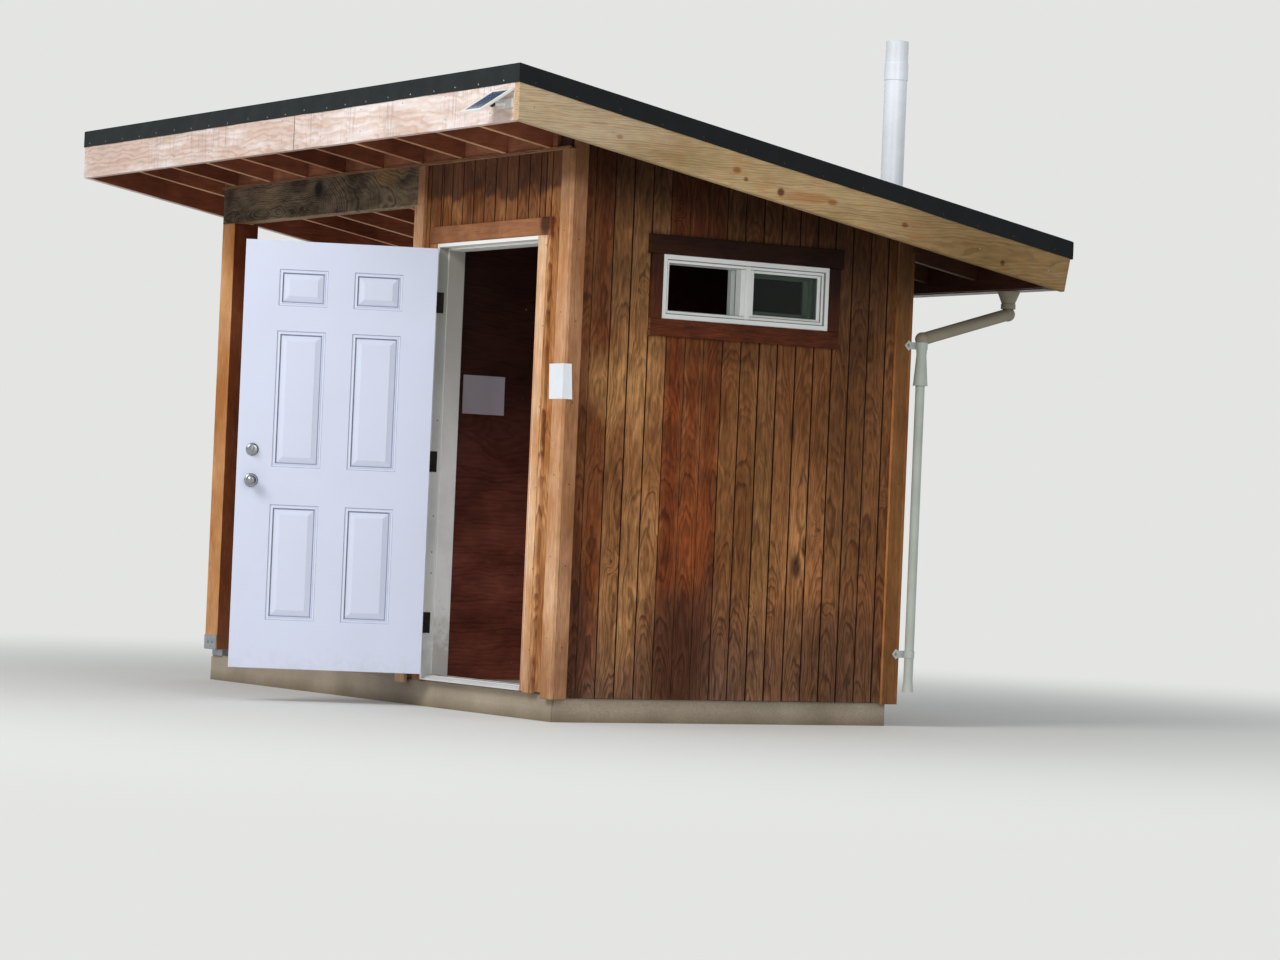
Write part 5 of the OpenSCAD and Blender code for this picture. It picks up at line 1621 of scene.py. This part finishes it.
for make in (slab, front_walls, right_wall, back_wall, partition, corner_trims, frieze, casing, window_trim,
             door_frame, sill, leaf, knob, bolt, window, beams, rafters, fascias, deck, covering, edge_trim,
             papers, solar_light, fasteners, needles, finish_cad):
    make()


# Floor, light and camera
def stage():
    """A pale floor that fades into a plain background, a soft sky and two large lamps."""
    mesh = bpy.data.meshes.new("floor")
    wide = 80.0
    mesh.from_pydata([(*p, 0) for p in rect(-wide, -wide, wide, wide)], [], [(0, 1, 2, 3)])
    floor = bpy.data.objects.new("floor", mesh)
    bpy.context.scene.collection.objects.link(floor)
    backdrop = "#e4e5e3"
    mat, node = new_material("pale_floor")
    ray = node("LightPath").outputs
    seen = node("Math", (ray["Is Camera Ray"], ray["Is Glossy Ray"]), "ADD")
    seen = node("Math", (seen, ray["Is Transmission Ray"]), "ADD")
    away = node("VectorMath", (node("TexCoord").outputs["Object"],), "LENGTH")
    far = node("MapRange", (away, 2.6, 8.5), interpolation_type="SMOOTHSTEP")
    plain = node("Math", (far, seen), "MULTIPLY", use_clamp=True)
    shader = node("BsdfPrincipled", {"Base Color": "#dcdcd8", "Roughness": 0.9})
    flat = node("Emission", {"Color": backdrop, "Strength": 1.0})
    node("OutputMaterial", {"Surface": node("MixShader", (plain, shader, flat))})
    mesh.materials.append(mat)
    world = bpy.data.worlds.new("plain_sky")
    bpy.context.scene.world = world
    world.use_nodes = True
    world.node_tree.nodes.clear()
    node = functools.partial(add, world.node_tree)
    ray = node("LightPath").outputs
    seen = node("Math", (ray["Is Camera Ray"], ray["Is Transmission Ray"]), "ADD", use_clamp=True)
    soft = node("Background", {"Color": "#eef2f6", "Strength": 0.62})
    plain = node("Background", {"Color": backdrop, "Strength": 1.0})
    node("OutputWorld", {"Surface": node("MixShader", (seen, soft, plain))})
    lamps = (("key", (3.5, -11, 8.5), (0, 0, 1.2), 5.0, 900), ("fill", (12, -3, 5), (1, 0, 1.2), 5.0, 260))
    for name, spot, target, size, power in lamps:
        data = bpy.data.lights.new(name, "AREA")
        data.size = size
        data.energy = power
        lamp = bpy.data.objects.new(name, data)
        bpy.context.scene.collection.objects.link(lamp)
        lamp.location = spot
        lamp.rotation_euler = (Vector(target) - Vector(spot)).to_track_quat("-Z", "Y").to_euler()


# The camera stands where the photograph was taken from
CAMERA_AT = Vector((16.626, -9.892, 0.884))
CAMERA_YAW = math.radians(57.772)
CAMERA_UP = math.radians(0.758)
CAMERA_ROLL = math.radians(2.428)
CAMERA_LENS = 107.73


def camera():
    data = bpy.data.cameras.new("camera")
    data.sensor_width = 36
    data.lens = CAMERA_LENS
    data.clip_start = 0.1
    data.clip_end = 400
    cam = bpy.data.objects.new("camera", data)
    bpy.context.scene.collection.objects.link(cam)
    flat = Vector((-math.sin(CAMERA_YAW), math.cos(CAMERA_YAW), 0))
    ahead = flat * math.cos(CAMERA_UP) + Z * math.sin(CAMERA_UP)
    above = Z * math.cos(CAMERA_UP) - flat * math.sin(CAMERA_UP)
    side = Vector((math.cos(CAMERA_YAW), math.sin(CAMERA_YAW), 0))
    right = side * math.cos(CAMERA_ROLL) + above * math.sin(CAMERA_ROLL)
    up = above * math.cos(CAMERA_ROLL) - side * math.sin(CAMERA_ROLL)
    turn = Matrix((right, up, -ahead)).transposed()
    cam.matrix_world = Matrix.Translation(CAMERA_AT) @ turn.to_4x4()
    bpy.context.scene.camera = cam


stage()
camera()
bpy.context.scene.view_settings.view_transform = "Standard"
